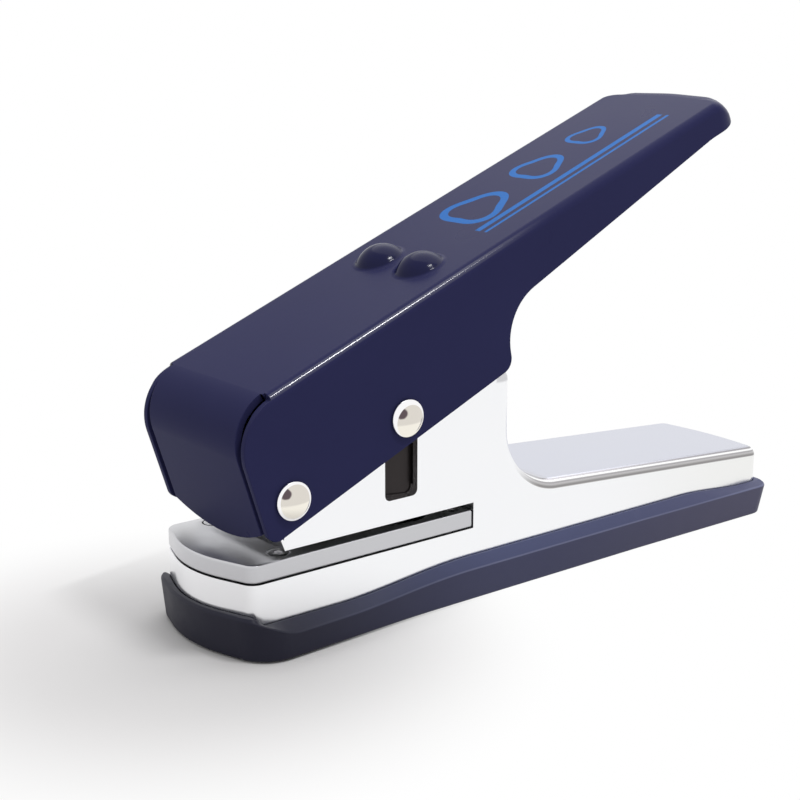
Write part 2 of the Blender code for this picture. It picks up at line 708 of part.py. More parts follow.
# Die
def make_die():
    inside = THROAT_DEPTH - GAP
    die = extruded("die_plate", frame_plan(), DIE_BOTTOM, DIE_TOP, "plan")
    cut(die, box("die_back", (inside, -FRAME_WIDTH, 0), (TAIL_REACH + OVERRUN, FRAME_WIDTH, CHEEK_TOP)))
    settle(bevel_sharp(die, DIE_EDGE, 1))
    cut(die, pick_prism("die_hole", DIE_CLEARANCE, DIE_BOTTOM - OVERRUN, DIE_TOP + OVERRUN))
    sink = DIE_SCREW_HEAD - DIE_SCREW_RADIUS
    for index, (x, y) in enumerate(DIE_SCREW_PLACES):
        head, shank = DIE_SCREW_HEAD, DIE_SCREW_RADIUS
        hole = (
            (0, DIE_TOP + OVERRUN), (head + GAP, DIE_TOP + OVERRUN), (head + GAP, DIE_TOP - GAP),
            (shank + GAP, DIE_TOP - GAP - sink), (shank + GAP, DIE_BOTTOM - OVERRUN), (0, DIE_BOTTOM - OVERRUN))
        cut(die, turned(f"die_hole_{index}", hole, (x, y, 0)))
        low = DIE_TOP - DIE_SCREW_LENGTH
        body = ((0, DIE_TOP), (head, DIE_TOP), (shank, DIE_TOP - sink), (shank, low), (0, low))
        screw = turned(f"die_screw_{index + 1}", body, (x, y, 0), sides=ROUND_SIDES // 2)
        keep(smooth(screw), "bright_steel")
    keep(smooth(die), "bright_steel")


# Punch
def make_carrier(slide):
    ends = (PICK_TIP - CARRIER_END, PICK_BACK + CARRIER_END)
    outline = rounded([(x, side * CARRIER_HALF, CARRIER_EDGE) for x, side in zip(
        (ends[0], ends[1], ends[1], ends[0]), (-1, -1, 1, 1))])
    carrier = extruded("punch_carrier", outline, CARRIER_FOOT, CARRIER_TOP, "plan")
    ear_low = CARRIER_TOP - EAR_THICKNESS
    for index, x in enumerate(SPRING_PLACES):
        inner = ends[index]
        low, high = min(x, inner), max(x, inner)
        ear = box(f"ear_{index}", (low, -EAR_WIDTH / 2, ear_low), (high + HAIR, EAR_WIDTH / 2, CARRIER_TOP))
        tip = rod(f"ear_tip_{index}", EAR_RADIUS, ear_low, CARRIER_TOP, (x, 0, 0))
        bore = rod(f"ear_bore_{index}", SHOULDER_RADIUS + GAP, GUIDE_TOP, CHEEK_TOP, (x, 0, 0))
        cut(join(carrier, ear, tip), bore)
    slot = rounded([
        (x, z, PIN_RADIUS) for x, z in (
            (DRIVE_SLOT_FRONT, DRIVE_REST_Z - PIN_BORE), (DRIVE_SLOT_FRONT, DRIVE_REST_Z + PIN_BORE),
            (DRIVE_SLOT_BACK, DRIVE_REST_Z + PIN_BORE), (DRIVE_SLOT_BACK, DRIVE_REST_Z - PIN_BORE))])
    cut(carrier, extruded("drive_slot", slot, -FRAME_WIDTH, FRAME_WIDTH))
    for index, x in enumerate(PUNCH_SCREW_PLACES):
        bore = PUNCH_SCREW_RADIUS + GAP
        head_low = CARRIER_TOP - PUNCH_SCREW_HEAD_HEIGHT
        cut(carrier, rod(f"carrier_hole_{index}", bore, GUIDE_TOP, CHEEK_TOP, (x, 0, 0)))
        cut(carrier, rod(f"carrier_sink_{index}", PUNCH_SCREW_HEAD + GAP, head_low - GAP, CHEEK_TOP, (x, 0, 0)))
    keep(smooth(carrier), "black_zinc", slide)


def make_punch(slide):
    punch = pick_prism("punch_cutter", 0, PUNCH_FACE, CARRIER_FOOT - GAP)
    half = PICK_LENGTH / 2
    hollow = (half ** 2 + PUNCH_HOLLOW ** 2) / (2 * PUNCH_HOLLOW)
    centre = (PICK_MIDDLE, 0, PUNCH_FACE + PUNCH_HOLLOW - hollow)
    cut(punch, rod("punch_hollow", hollow, -PICK_WIDTH, PICK_WIDTH, centre, CROSSWISE, sides=ROUND_SIDES * 12))
    low = CARRIER_TOP - PUNCH_SCREW_LENGTH
    for index, x in enumerate(PUNCH_SCREW_PLACES):
        bore = PUNCH_SCREW_RADIUS + GAP
        cut(punch, rod(f"punch_hole_{index}", bore, low - GAP, CHEEK_TOP, (x, 0, 0)))
        head_low = CARRIER_TOP - PUNCH_SCREW_HEAD_HEIGHT
        body = (
            (0, CARRIER_TOP), (PUNCH_SCREW_HEAD, CARRIER_TOP), (PUNCH_SCREW_HEAD, head_low),
            (PUNCH_SCREW_RADIUS, head_low), (PUNCH_SCREW_RADIUS, low), (0, low))
        screw = turned(f"punch_screw_{index + 1}", body, (x, 0, 0), sides=ROUND_SIDES // 2)
        keep(smooth(screw), "bright_steel", slide)
    keep(smooth(punch), "tool_steel", slide)


# Springs
def spring_points(low, high):
    """Centre line of a compression spring, from its lower to its upper end."""
    count = SPRING_TURNS * SPRING_TURN_POINTS
    radius = SPRING_WIRE / 2
    for step in range(count + 1):
        angle = math.tau * step / SPRING_TURN_POINTS
        height = low + radius + (high - low - SPRING_WIRE) * step / count
        yield Vector((SPRING_RADIUS * math.cos(angle), SPRING_RADIUS * math.sin(angle), height))


def spring_self_gap(points):
    """Least distance between the tube's surfaces on points at least half a turn apart."""
    apart = SPRING_TURN_POINTS // 2
    distances = [
        (points[i] - points[j]).length for i in range(len(points)) for j in range(i + apart, len(points))]
    return min(distances) - SPRING_WIRE


def make_springs():
    low = GUIDE_TOP + GAP
    high = CARRIER_TOP - EAR_THICKNESS - GAP
    for name, x in zip(("front_spring", "rear_spring"), SPRING_PLACES):
        points = list(spring_points(low, high))
        curve = bpy.data.curves.new(name, "CURVE")
        curve.dimensions = "3D"
        curve.bevel_depth = SPRING_WIRE / 2
        curve.bevel_resolution = 1
        curve.use_fill_caps = True
        spline = curve.splines.new("POLY")
        spline.points.add(len(points) - 1)
        for point, place in zip(spline.points, points):
            point.co = (*place, 1)
        coil = bpy.data.objects.new(name, curve)
        bpy.data.collections[CUTTERS].objects.link(coil)
        coil.location = (x, 0, 0)
        keep(coil, "spring_steel")
        print(f"{name} least gap to itself: {spring_self_gap(points) / MM:.2f} mm")
    for index, x in enumerate(SPRING_PLACES):
        foot = GUIDE_TOP - SHOULDER_BITE
        seat = CARRIER_TOP + GAP
        body = (
            (0, seat + SHOULDER_HEAD_HEIGHT), (SHOULDER_HEAD_RADIUS, seat + SHOULDER_HEAD_HEIGHT),
            (SHOULDER_HEAD_RADIUS, seat), (SHOULDER_RADIUS, seat), (SHOULDER_RADIUS, foot), (0, foot))
        screw = turned(f"shoulder_screw_{index + 1}", body, (x, 0, 0), sides=ROUND_SIDES // 2)
        keep(smooth(screw), "bright_steel")


# Lever
def nose_line(front, height):
    """How far forward the leaning nose stands at a height."""
    return -front + NOSE_LEAN_SHARE * height


def lever_block(name, profile, inset):
    """The lever's whole body, or, with an inset, the hollow in it."""
    block = extruded(name, profile, -LEVER_HALF - OVERRUN, LEVER_HALF + OVERRUN)
    front = -PLATE_FRONT - OVERRUN * 2
    outline = end_outline(front, LEVER_LENGTH, LEVER_HALF, 0, LEVER_SWEEP, (0, 0, LEVER_CORNER, LEVER_BOW))
    plan = extruded(name + "_plan", offset(outline, -inset), -LEVER_TOP - OVERRUN, LEVER_TOP + OVERRUN, "plan")
    boolean(block, plan, "INTERSECT")
    bpy.data.objects.remove(plan, do_unlink=True)
    top = LEVER_TOP - inset - HAIR

    def bend_share(middle, along):
        if middle.z < top or middle.x < HAIR and abs(along.y) > math.cos(FLAT_TURN):
            return 0
        along_end = ease(middle.x, LEVER_LENGTH - LEVER_CORNER - LEVER_BEND, LEVER_LENGTH - LEVER_BEND)
        side = (LEVER_BEND - inset) / (END_BEND - inset)
        return side + (1 - side) * along_end

    bevel_chosen(block, END_BEND - inset, 3 if inset == 0 else 1, bend_share)
    return settle(block)


def skirt_line(x):
    """Height of the skirt's lower edge."""
    return -SKIRT_BACK - (SKIRT_FRONT - SKIRT_BACK) * (SKIRT_END - x) / SKIRT_END


def lever_trims():
    """What is cut off below the skirt, the grip and the chin, and round the nose."""
    across = LEVER_HALF + OVERRUN
    deep = -LEVER_TOP - OVERRUN
    above = LEVER_TOP + OVERRUN
    far = LEVER_LENGTH + OVERRUN
    front = -PLATE_FRONT - OVERRUN * 3
    strip_front = PLATE_FRONT - STRIP_RECESS
    lip = LEVER_LENGTH - LIP_LENGTH
    under = extruded("under_trim", rounded([
        (-CHIN_RUN, deep, 0),
        (-CHIN_RUN, skirt_line(-CHIN_RUN), 0),
        (SKIRT_END, -SKIRT_BACK, SKIRT_CORNER),
        (GRIP_START, GRIP_ROOT, GRIP_HOLLOW),
        (lip, GRIP_TIP, LIP_ROUND),
        (LEVER_LENGTH, LIP_EDGE, 0),
        (far, LIP_EDGE, 0),
        (far, deep, 0),
    ]), -across, across)
    bow = (LEVER_INNER ** 2 + CHIN_SAG ** 2) / (2 * CHIN_SAG)
    half = math.asin(across / bow)
    angles = [half * (2 * step / CHIN_STEPS - 1) for step in range(CHIN_STEPS + 1)]
    arc = [Vector((bow * math.sin(angle), bow - CHIN_DEPTH - bow * math.cos(angle))) for angle in angles]
    chin = extruded(
        "chin_trim", [Vector((-across, deep))] + arc + [Vector((across, deep))], front, CHIN_BACK, "front")
    edge = LEVER_INNER - SLIT_WIDTH / 2
    chin_limit = box("chin_limit", (front - OVERRUN, -edge, deep - OVERRUN), (0, edge, above))
    boolean(chin, chin_limit, "INTERSECT")
    bpy.data.objects.remove(chin_limit, do_unlink=True)
    strip_top = LEVER_TOP + HAIR * 2
    strip_end = nose_line(strip_front, LEVER_TOP) + STRIP_ROUND
    strip = rounded([
        (front, deep, 0),
        (nose_line(strip_front, deep), deep, 0),
        (nose_line(strip_front, strip_top), strip_top, STRIP_ROUND),
        (strip_end + OVERRUN, strip_top, 0),
        (strip_end + OVERRUN, above, 0),
        (front, above, 0),
    ])
    plate_foot = skirt_line(-PLATE_FRONT) - HAIR * 2
    plate = rounded([
        (front, deep, 0),
        (CHIN_RUN - PLATE_FRONT, deep, 0),
        (CHIN_RUN - PLATE_FRONT, skirt_line(-CHIN_RUN) - HAIR * 2, 0),
        (nose_line(PLATE_FRONT, plate_foot), plate_foot, PLATE_FOOT_ROUND),
        (nose_line(PLATE_FRONT, PLATE_TOP), PLATE_TOP, PLATE_ROUND),
        (PLATE_END, PLATE_TOP, 0),
        (PLATE_END + LEVER_TOP - PLATE_TOP, above, 0),
        (front, above, 0),
    ])
    trims = [under, chin, extruded("strip_trim", strip, -edge, edge)]
    for side in (-1, 1):
        slit = [Vector((x, side * y)) for x, y in (
            (front, LEVER_INNER + HAIR * 2), (strip_end, LEVER_INNER + HAIR * 2),
            (strip_end, LEVER_INNER - SLIT_WIDTH - SLIT_RELIEF), (0, LEVER_INNER - SLIT_WIDTH),
            (front, LEVER_INNER - SLIT_WIDTH))]
        trims.append(extruded(f"slit_{side}", slit, deep, above, "plan"))
        edges = sorted((side * edge, side * across))
        trims.append(extruded(f"plate_trim_{side}", plate, edges[0], edges[1]))
    return trims


def make_lever(axis):
    low = -LEVER_TOP
    front = -PLATE_FRONT - OVERRUN
    back = LEVER_LENGTH + OVERRUN
    whole = rounded([(front, low, 0), (front, LEVER_TOP, 0), (back, LEVER_TOP, 0), (back, low, 0)])
    inner_front = PLATE_FRONT - STRIP_RECESS - LEVER_SHEET
    inner_top = LEVER_TOP - LEVER_SHEET
    inner_low = low - OVERRUN
    hollow = rounded([
        (nose_line(inner_front, inner_low), inner_low, 0),
        (nose_line(inner_front, inner_top), inner_top, STRIP_ROUND - LEVER_SHEET),
        (back, inner_top, 0),
        (back, inner_low, 0),
    ])
    lever = lever_block("lever_shell", whole, 0)
    cut(lever, lever_block("lever_hollow", hollow, LEVER_SHEET), *lever_trims())
    sphere = (DOME_RADIUS ** 2 + DOME_HEIGHT ** 2) / (2 * DOME_HEIGHT)
    low = LEVER_TOP - LEVER_SHEET / 2
    for side in (-1, 1):
        place = (DOME_PLACE, side * DOME_SPACING / 2, LEVER_TOP + DOME_HEIGHT - sphere)
        dome = ball(f"dome_{side}", sphere, place)
        cap_limit = box(
            f"dome_limit_{side}", (DOME_PLACE - sphere, place[1] - sphere, low),
            (DOME_PLACE + sphere, place[1] + sphere, LEVER_TOP + sphere))
        inside = ball(f"dome_inside_{side}", sphere - LEVER_SHEET, place)
        boolean(dome, cap_limit, "INTERSECT")
        bpy.data.objects.remove(cap_limit, do_unlink=True)
        cut(join(lever, dome), inside)
    drive = Vector((math.cos(DRIVE_LEAD), 0, math.sin(DRIVE_LEAD))) * DRIVE_RADIUS
    for name, place in (("fulcrum_eye", Vector()), ("drive_eye", drive)):
        cut(lever, rod(name, PIN_BORE, -LEVER_HALF * 2, LEVER_HALF * 2, place, CROSSWISE))
    lever.parent = axis
    keep(smooth(lever), "navy_paint")
    for name, place in (("fulcrum", Vector()), ("drive", drive)):
        make_rivet(name, place, axis)
    make_stop_pad(axis)


def make_rivet(name, place, axis):
    """A headed pin through lever and frame, its far cap, and the washers between the walls."""
    seat = LEVER_HALF + GAP
    tail = LEVER_HALF + GAP + CAP_RIM
    near = CROSSWISE
    far = Matrix.Rotation(-math.pi / 2, 4, "X")
    head = dome_profile(HEAD_RADIUS, HEAD_HEIGHT - CAP_RIM, seat + CAP_RIM)
    shank = ((HEAD_RADIUS, seat), (PIN_RADIUS, seat), (PIN_RADIUS, -tail), (0, -tail))
    pin = turned(name + "_pin", head + list(shank), place, near)
    socket = ((HEAD_RADIUS, seat), (PIN_BORE, seat), (PIN_BORE, tail + GAP), (0, tail + GAP))
    cap = turned(name + "_cap", head + list(socket), place, far)
    low, high = FRAME_HALF + GAP, LEVER_INNER - GAP
    washers = [ring(f"{name}_washer_{index + 1}", PIN_BORE, WASHER_RADIUS, low, high, place, stance)
               for index, stance in enumerate((near, far))]
    pieces = [(pin, "chrome"), (cap, "chrome")] + [(washer, "nylon") for washer in washers]
    for item, finish in pieces:
        item.parent = axis
        keep(smooth(item), finish)


def make_stop_pad(axis):
    """The rubber pad under the lever's top that lands on the neck."""
    top = LEVER_TOP - LEVER_SHEET - GAP
    low = NECK_TOP + NECK_CREST + GAP - FULCRUM_HEIGHT
    back = NECK_BACK
    pad = box(
        "stop_pad", (back - STOP_PAD_LENGTH, -STOP_PAD_WIDTH / 2, low), (back, STOP_PAD_WIDTH / 2, top))
    pad.parent = axis
    keep(bevel_sharp(pad, STOP_PAD_EDGE), "black_rubber")


def make_bush():
    """The spacer tube round the fulcrum pin, between the cheeks."""
    half = FRAME_INNER - GAP
    bush = ring("fulcrum_bush", PIN_BORE, BUSH_RADIUS, -half, half, (0, 0, FULCRUM_HEIGHT), CROSSWISE)
    keep(smooth(bush), "bright_steel")


# Tray
def tray_outline(front, back, widths):
    """Plan outline of the tray, with points along its straight legs too, for the rim's rise and fall."""
    nose, waist, tail = (width / 2 for width in widths)
    corners = rounded(mirrored([
        (front, 0, TRAY_NOSE_BOW),
        (front + TRAY_NOSE_SWEEP, nose, TRAY_NOSE_CORNER),
        (TRAY_WAIST_FRONT, waist, TRAY_SIDE_BOW),
        (TRAY_WAIST_BACK, waist, TRAY_SIDE_BOW),
        (back - TRAY_TAIL_SWEEP, tail, TRAY_TAIL_CORNER),
        (back, 0, TRAY_TAIL_BOW),
    ]), TRAY_CORNER_STEPS)
    points = []
    for index, here in enumerate(corners):
        ahead = corners[(index + 1) % len(corners)]
        leg = (index + 1) % (TRAY_CORNER_STEPS + 1) == 0
        count = TRAY_LEG_STEPS if leg else 1
        points += [here.lerp(ahead, step / count) for step in range(count)]
    return points


def rim_heights(point):
    """Heights of the rim's outer and inner edge: low beside the nose, high along the sides."""
    step = (RIM_FRONT - RIM_NOSE) * ease(-point.x, RIM_STEP_START, RIM_STEP_END)
    rise = ease(point.x, RIM_RISE_START, RIM_RISE_END)
    fall = ease(point.x, RIM_FALL_START, RIM_FALL_END)
    outer = LEDGE_NOSE + step + (LEDGE_SIDE - LEDGE_NOSE) * rise
    inner = RIM_NOSE + step + (RIM_SIDE - RIM_NOSE) * rise + (RIM_TAIL - RIM_SIDE) * fall
    return outer, inner


def beside_frame(point):
    """A point of the outer edge moved in to the narrow flat land round the frame."""
    land = GAP + RIM_LAND
    share = (point.x + TRAY_FRONT) / (TRAY_BACK + TRAY_FRONT)
    x = share * (TAIL_REACH + NOSE_REACH + 2 * land) - NOSE_REACH - land
    half = FRAME_HALF + land
    return Vector((x, min(max(point.y, -half), half)))


def drawn_in(point):
    """A point of the rim moved in until it is well inside the frame's outline."""
    share = 1 - 2 * RIM_INNER / TRAY_WIDTHS[0]
    x = min(max(point.x, RIM_INNER - TRAY_FRONT), TRAY_BACK - RIM_INNER)
    return Vector((x, point.y * share))


def make_tray(slide):
    top = tray_outline(-TRAY_FRONT, TRAY_BACK, TRAY_WIDTHS)
    drafted = [width - 2 * TRAY_SIDE_DRAFT for width in TRAY_WIDTHS]
    foot = tray_outline(-TRAY_FRONT + TRAY_FRONT_DRAFT, TRAY_BACK - TRAY_BACK_DRAFT, drafted)
    rings = [
        [(point, TRAY_BOTTOM) for point in offset(foot, -TRAY_FOOT_ROUND)],
        [(point, TRAY_BOTTOM + TRAY_FOOT_ROUND) for point in foot],
        [(point, rim_heights(point)[0]) for point in top],
        [(beside_frame(point), rim_heights(point)[1]) for point in top],
        [(drawn_in(point), rim_heights(point)[1]) for point in top],
    ]
    shape = bmesh.new()
    loops = [[shape.verts.new((*point, height)) for point, height in level] for level in rings]
    for below, above in zip(loops, loops[1:]):
        for i in range(len(below)):
            shape.faces.new((below[i - 1], below[i], above[i], above[i - 1]))
    shape.faces.new(loops[0])
    shape.faces.new(loops[-1])
    tray = mesh_object("base_tray", shape)
    pocket = extruded("tray_pocket", offset(frame_plan(), GAP), TRAY_INSIDE, RIM_SIDE + OVERRUN, "plan")
    recess_top = SOLE_THICKNESS + GAP
    sole_outline = offset(foot, -SOLE_INSET - TRAY_FOOT_ROUND)
    recess = extruded("sole_recess", offset(sole_outline, GAP), -OVERRUN, recess_top, "plan")
    cut(tray, pocket, recess)
    keep(smooth(tray), "navy_plastic", slide)
    keep(extruded("anti_slip_sole", sole_outline, 0, SOLE_THICKNESS, "plan"), "black_rubber", slide)


def main():
    clear_scene()
    lever_axis = axis_empty("lever_axis", (0, 0, FULCRUM_HEIGHT), -LEVER_TILT)
    punch_slide = axis_empty("punch_slide", (DRIVE_MIDDLE_X, 0, GUIDE_TOP))
    tray_slide = axis_empty("tray_slide", (0, 0, 0))
    make_frame()
    make_die()
    make_bush()
    make_springs()
    make_carrier(punch_slide)
    make_punch(punch_slide)
    make_lever(lever_axis)
    make_tray(tray_slide)


main()
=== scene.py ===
"""Looks of the guitar pick punch: its pieces, finishes, light and camera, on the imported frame."""
import functools
import math

import bmesh
import bpy
from mathutils import Matrix, Vector, geometry


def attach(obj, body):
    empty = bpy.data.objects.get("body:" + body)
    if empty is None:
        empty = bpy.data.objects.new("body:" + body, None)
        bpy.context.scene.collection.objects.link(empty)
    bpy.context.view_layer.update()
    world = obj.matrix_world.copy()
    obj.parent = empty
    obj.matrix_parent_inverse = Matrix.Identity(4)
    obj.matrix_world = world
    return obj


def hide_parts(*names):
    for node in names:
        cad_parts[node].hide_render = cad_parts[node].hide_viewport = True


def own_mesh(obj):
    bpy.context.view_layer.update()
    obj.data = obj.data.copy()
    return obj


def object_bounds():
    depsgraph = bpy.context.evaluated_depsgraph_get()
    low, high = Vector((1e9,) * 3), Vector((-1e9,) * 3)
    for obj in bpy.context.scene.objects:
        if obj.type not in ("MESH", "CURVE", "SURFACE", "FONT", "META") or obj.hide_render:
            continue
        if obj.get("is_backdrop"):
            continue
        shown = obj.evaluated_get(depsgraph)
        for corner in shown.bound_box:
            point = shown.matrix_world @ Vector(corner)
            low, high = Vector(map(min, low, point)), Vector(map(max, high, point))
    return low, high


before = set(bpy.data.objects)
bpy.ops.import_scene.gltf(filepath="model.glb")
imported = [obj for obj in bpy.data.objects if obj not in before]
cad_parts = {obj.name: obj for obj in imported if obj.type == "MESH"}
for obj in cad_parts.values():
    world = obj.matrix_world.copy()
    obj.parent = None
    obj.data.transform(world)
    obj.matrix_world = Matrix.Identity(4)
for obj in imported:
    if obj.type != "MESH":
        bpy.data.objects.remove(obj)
cad_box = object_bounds()

# Lengths in this script are millimetres until a piece is placed
MM = 0.001
ARC_STEP = math.radians(5.0)
FINE_STEP = math.radians(3.0)
GAP = 0.3
# How far a cut runs on past the face that it starts from
OVERRUN = 5.0
# Half the reach of a cut that goes right across the frame
ACROSS = 20.0
# What keeps a cut from ending in a face
HAIR = 0.02
# Rise over length from which an edge counts as upright
UPRIGHT = 0.9999
CROSSWISE = Matrix.Rotation(math.pi / 2, 3, "X")
CROSSBACK = Matrix.Rotation(-math.pi / 2, 3, "X")

# Camera, as fitted to the photograph
CAMERA_PLACE = (-156.07, -243.87, 119.37)
CAMERA_TURN = math.radians(-38.771)
CAMERA_TILT = math.radians(14.194)
CAMERA_LENS = 70.15

# Lever, measured along and square to its own top face from the fulcrum
FULCRUM = Vector((0, 0, 31.0))
LEVER_TILT = math.radians(21.56)
LEVER_TOP = 20.83
LEVER_DEEP = -30.0
LEVER_INNER = 16.575
LEVER_SHEET = 1.4
LEVER_HALF = LEVER_INNER + LEVER_SHEET
LEVER_LENGTH = 140.0
LEVER_BEND = 2.0
BEND_STEPS = 8
# The handle's end, and the run over which its bend widens
END_CORNER = 8.5
END_SWEEP = 1.3
END_BOW = 40.0
END_BEND = 6.25
END_RUN = 9.2
# Side plates, the strip between them in front, and the slits beside it
PLATE_FRONT = 7.1
PLATE_TOP = LEVER_TOP - 1.05
PLATE_BACK = 3.4
STRIP_FRONT = PLATE_FRONT - 0.1
NOSE_ROUND = 10.0
NOSE_LEAN = 0.07
FOOT_ROUND = 2.5
SLIT = 1.3
SLIT_SHORT = 1.4
CHIN_DEPTH = 7.65
CHIN_SAG = 4.2
CHIN_RUN = 4.5
CHIN_LAP = 1.0
CHIN_STEPS = 16
# Round the slits' upper ends, where edges lie too close together to be rounded
SLIT_END_RUN = (-1.0, 9.0)
SLIT_END_LOW = 18.5
SLIT_END_SIDE = LEVER_INNER - 2.5
# The skirt's lower edge, the heel behind it and the underside of the handle
SKIRT_END = 57.5
SKIRT_LOW = -4.05
SKIRT_FALL = 1.6
HEEL_CORNER = 3.0
HEEL_SWEEP = 1.9
HANDLE_LOW = 7.8
HANDLE_HOLLOW = 11.4
LIP_RUN = 12.7
LIP_LOW = 14.3
LIP_ROUND = 12.0
LIP_END = 14.2
# Domes: radius and height outside and inside
DOME_PLACE = 50.7
DOME_SIDE = 6.45
DOME_OUTSIDE = (5.9, 2.85)
DOME_INSIDE = (4.8, 2.4)
DOME_FILLET = 1.5
DOME_STEPS = 10
# Places where the lever's long faces are divided
LEVER_SPLITS = (6.0, 44.0, DOME_PLACE, 57.0, 62.0, 128.0)

# Rivets: the rim is a list of radii with their heights over the seat
DRIVE = Vector((29.264, 0, 0.577))
PIN = 2.2
HEAD_RADIUS = 3.55
HEAD_CROWN = 0.95
HEAD_EDGE = 0.4
HEAD_RIM = ((3.7, 0.36), (3.78, 0.25), (3.8, 0.12), (3.74, 0.0))
CAP_SOCKET = 0.7
WASHER_RADIUS = 3.9
# Where the drive pin stands in the frame with the lever up, and how far back with the lever down
DRIVE_UP = (27.0047, 42.2908)
DRIVE_DOWN = 29.2643
PAD_FRONT = 52.2
PAD_HALF = 8.0
PAD_LOW = 17.3

# Frame
FRAME_HALF = 15.4
FRAME_WALL = 1.4
FRAME_INNER = FRAME_HALF - FRAME_WALL
FRAME_BOTTOM = 3.3
FRAME_BEND = 2.1
FRAME_BEND_STEPS = 10
NOSE = -13.0
NOSE_SWEEP = 5.5
NOSE_CORNER = 3.0
NOSE_BOW = 25.0
TAIL = 140.2
TAIL_SWEEP = 1.5
TAIL_CORNER = 3.0
TAIL_REACH = 0.6
TAIL_BOW = 60.0
TAIL_HEIGHT = 15.9
TAIL_SLOPE = math.radians(4.19)
THROAT_TOP = 20.5
THROAT_BACK = 46.8
DIE_TOP = 18.9
DIE_BOTTOM = 15.3
DIE_SEAT = 15.0
CHUTE_WALL = 1.8
WEB = 4.7
WEB_FOOT = 10.0
GUIDE_TOP = 27.0
GUIDE_FLOOR = 1.5
CHAMBER_BACK = 53.4
NECK_BACK = 56.9
NECK_TOP = 46.8
NECK_CREST = 1.2
NECK_CORNER = 2.4
NECK_FILLET = 13.5
BOSS = 4.0
CHEEK_TOP = 49.4
CHEEK_FRONT = 3.0
CHEEK_CORNER = 4.0
CHEEK_LEVEL_SHARE = 0.75
CHEEK_BOW = 20.0
WINDOW_PLAY = (1.1, 0.4, 0.8)
WINDOW_LOW = 25.2
WINDOW_CORNER = 1.3
BUSH_RADIUS = 3.4

# Screws: radii of shank and head
DIE_SCREWS = tuple((x, side * 11.4) for x in (1.0, 43.4) for side in (-1, 1))
DIE_SCREW = (1.1, 2.1)
DIE_SCREW_LENGTH = 8.0
DIE_SCREW_SINK = 1.0
DIE_SCREW_SOCKET = 1.6
DIE_BOSS = (2.9, 7.0)
PUNCH_SCREWS = (19.6, 36.8)
PUNCH_SCREW = (1.2, 2.2)
PUNCH_SCREW_HEAD = 1.4
PUNCH_SCREW_LENGTH = 15.0
PUNCH_SCREW_SOCKET = 2.0
PUNCH_SCREW_EDGE = 0.15
SOCKET_DEPTH = 1.1
SHOULDER_SCREW = (1.3, 2.6)
SHOULDER_HEAD = 1.1
SHOULDER_EDGE = 0.2
SHOULDER_BITE = 4.0
SLOT_HALF = 0.35
SLOT_DEPTH = 0.6

# Springs
SPRINGS = (7.3, 48.5)
SPRING_RADIUS = 2.7
WIRE_RADIUS = 0.4
WIRE_SIDES = 12
SPRING_TURNS = 6
TURN_STEPS = 24

# Punch
PICK_TIP = 12.9
PICK_LENGTH = 30.0
PICK_BACK = PICK_TIP + PICK_LENGTH
PICK_HALF = 13.0
PICK_STEPS = 25
PICK_SHARES = (
    ((0.0, 0.0), (0.0, 0.25), (0.44, 1.0), (0.66, 1.0)),
    ((0.66, 1.0), (0.86, 1.0), (1.0, 0.62), (1.0, 0.0)))
PUNCH_FACE = 22.0
PUNCH_HOLLOW = 0.8
HOLLOW_SIDES = 720
CARRIER_LOW = 38.0134
CARRIER_TOP = 47.99
CARRIER_END = 2.0
CARRIER_CORNER = 0.6
EAR_HALF = 4.5
EAR_THICKNESS = 4.0
EAR_RADIUS = 4.0

# Tray: widths at nose, waist and tail, and how much the foot is drawn in
TRAY_FRONT = -14.2
TRAY_BACK = 142.0
TRAY_BOTTOM = 0.3
TRAY_INSIDE = 3.0
TRAY_PLAY = 0.15
TRAY_WIDTHS = (39.2, 35.6, 36.8)
TRAY_WAIST = (30.0, 95.0)
TRAY_SWEEPS = (6.0, 1.8)
TRAY_ROUNDS = (30.0, 8.0, 200.0, 4.0, 60.0)
TRAY_ARC_STEPS = 14
TRAY_LEG_STEPS = 16
FOOT_FRONT, FOOT_BACK, FOOT_WIDTH = 0.7, 1.6, 0.6
FOOT_EDGE = 0.6
SOLE_INSET = 2.2
SOLE_RECESS = 1.5
SOLE_TOP = 1.2
# The rim's outer and inner edge, with their rises, each with the places where it starts and ends
RIM_OUTER = 5.4
RIM_INNER = 7.0
RIM_DROP = 0.25
RIM_SHARE = 0.12
RIM_LAND = 0.7
RIM_DEPTH = 6.3
SIDE_RUN = (12.0, 45.0)
SIDE_RISE = 1.7
INNER_SIDE_RISE = 2.3
NOSE_RUN = (1.0, -10.0)
NOSE_RISE = 3.1
INNER_NOSE_RUN = (-5.5, -8.5)
INNER_NOSE_RISE = 2.0
TAIL_RUN = (112.0, 135.0)
TAIL_FALL = 1.5

# Print on the lever: places and sizes of the rings, places and half widths of the lines
PRINT_RINGS = (((75.0, 2.2), 6.4), ((95.0, 3.0), 5.2), ((111.5, 3.6), 4.0))
PRINT_LINES = ((-7.0, 0.75), (-9.4, 0.4))
PRINT_SOFT = 0.06
RING_WAVE_SHARE = 0.13
RING_STROKE_SHARE = 0.16
# Painted reflections on the silver bend: a painted highlight line and grey reflection lines, as colours by the
# share of its width from its top edge
BEND_REFLECTIONS = (
    (0.0, (0.56, 0.57, 0.64)), (0.06, (0.56, 0.57, 0.64)), (0.08, (0.34, 0.33, 0.35)),
    (0.17, (0.38, 0.37, 0.39)), (0.20, (1.0, 1.0, 1.0)), (0.32, (1.0, 1.0, 1.0)),
    (0.35, (0.46, 0.45, 0.46)), (0.44, (0.41, 0.40, 0.41)), (0.52, (0.56, 0.55, 0.56)),
    (0.62, (0.46, 0.45, 0.45)), (0.76, (0.28, 0.27, 0.27)), (0.88, (0.34, 0.33, 0.33)),
    (0.97, (0.93, 0.93, 0.92)))
BEND_SHARE = 0.95
# Colour of the painted shadow that the lever casts on the top of the neck
NECK_SHADE = (0.35, 0.34, 0.36)

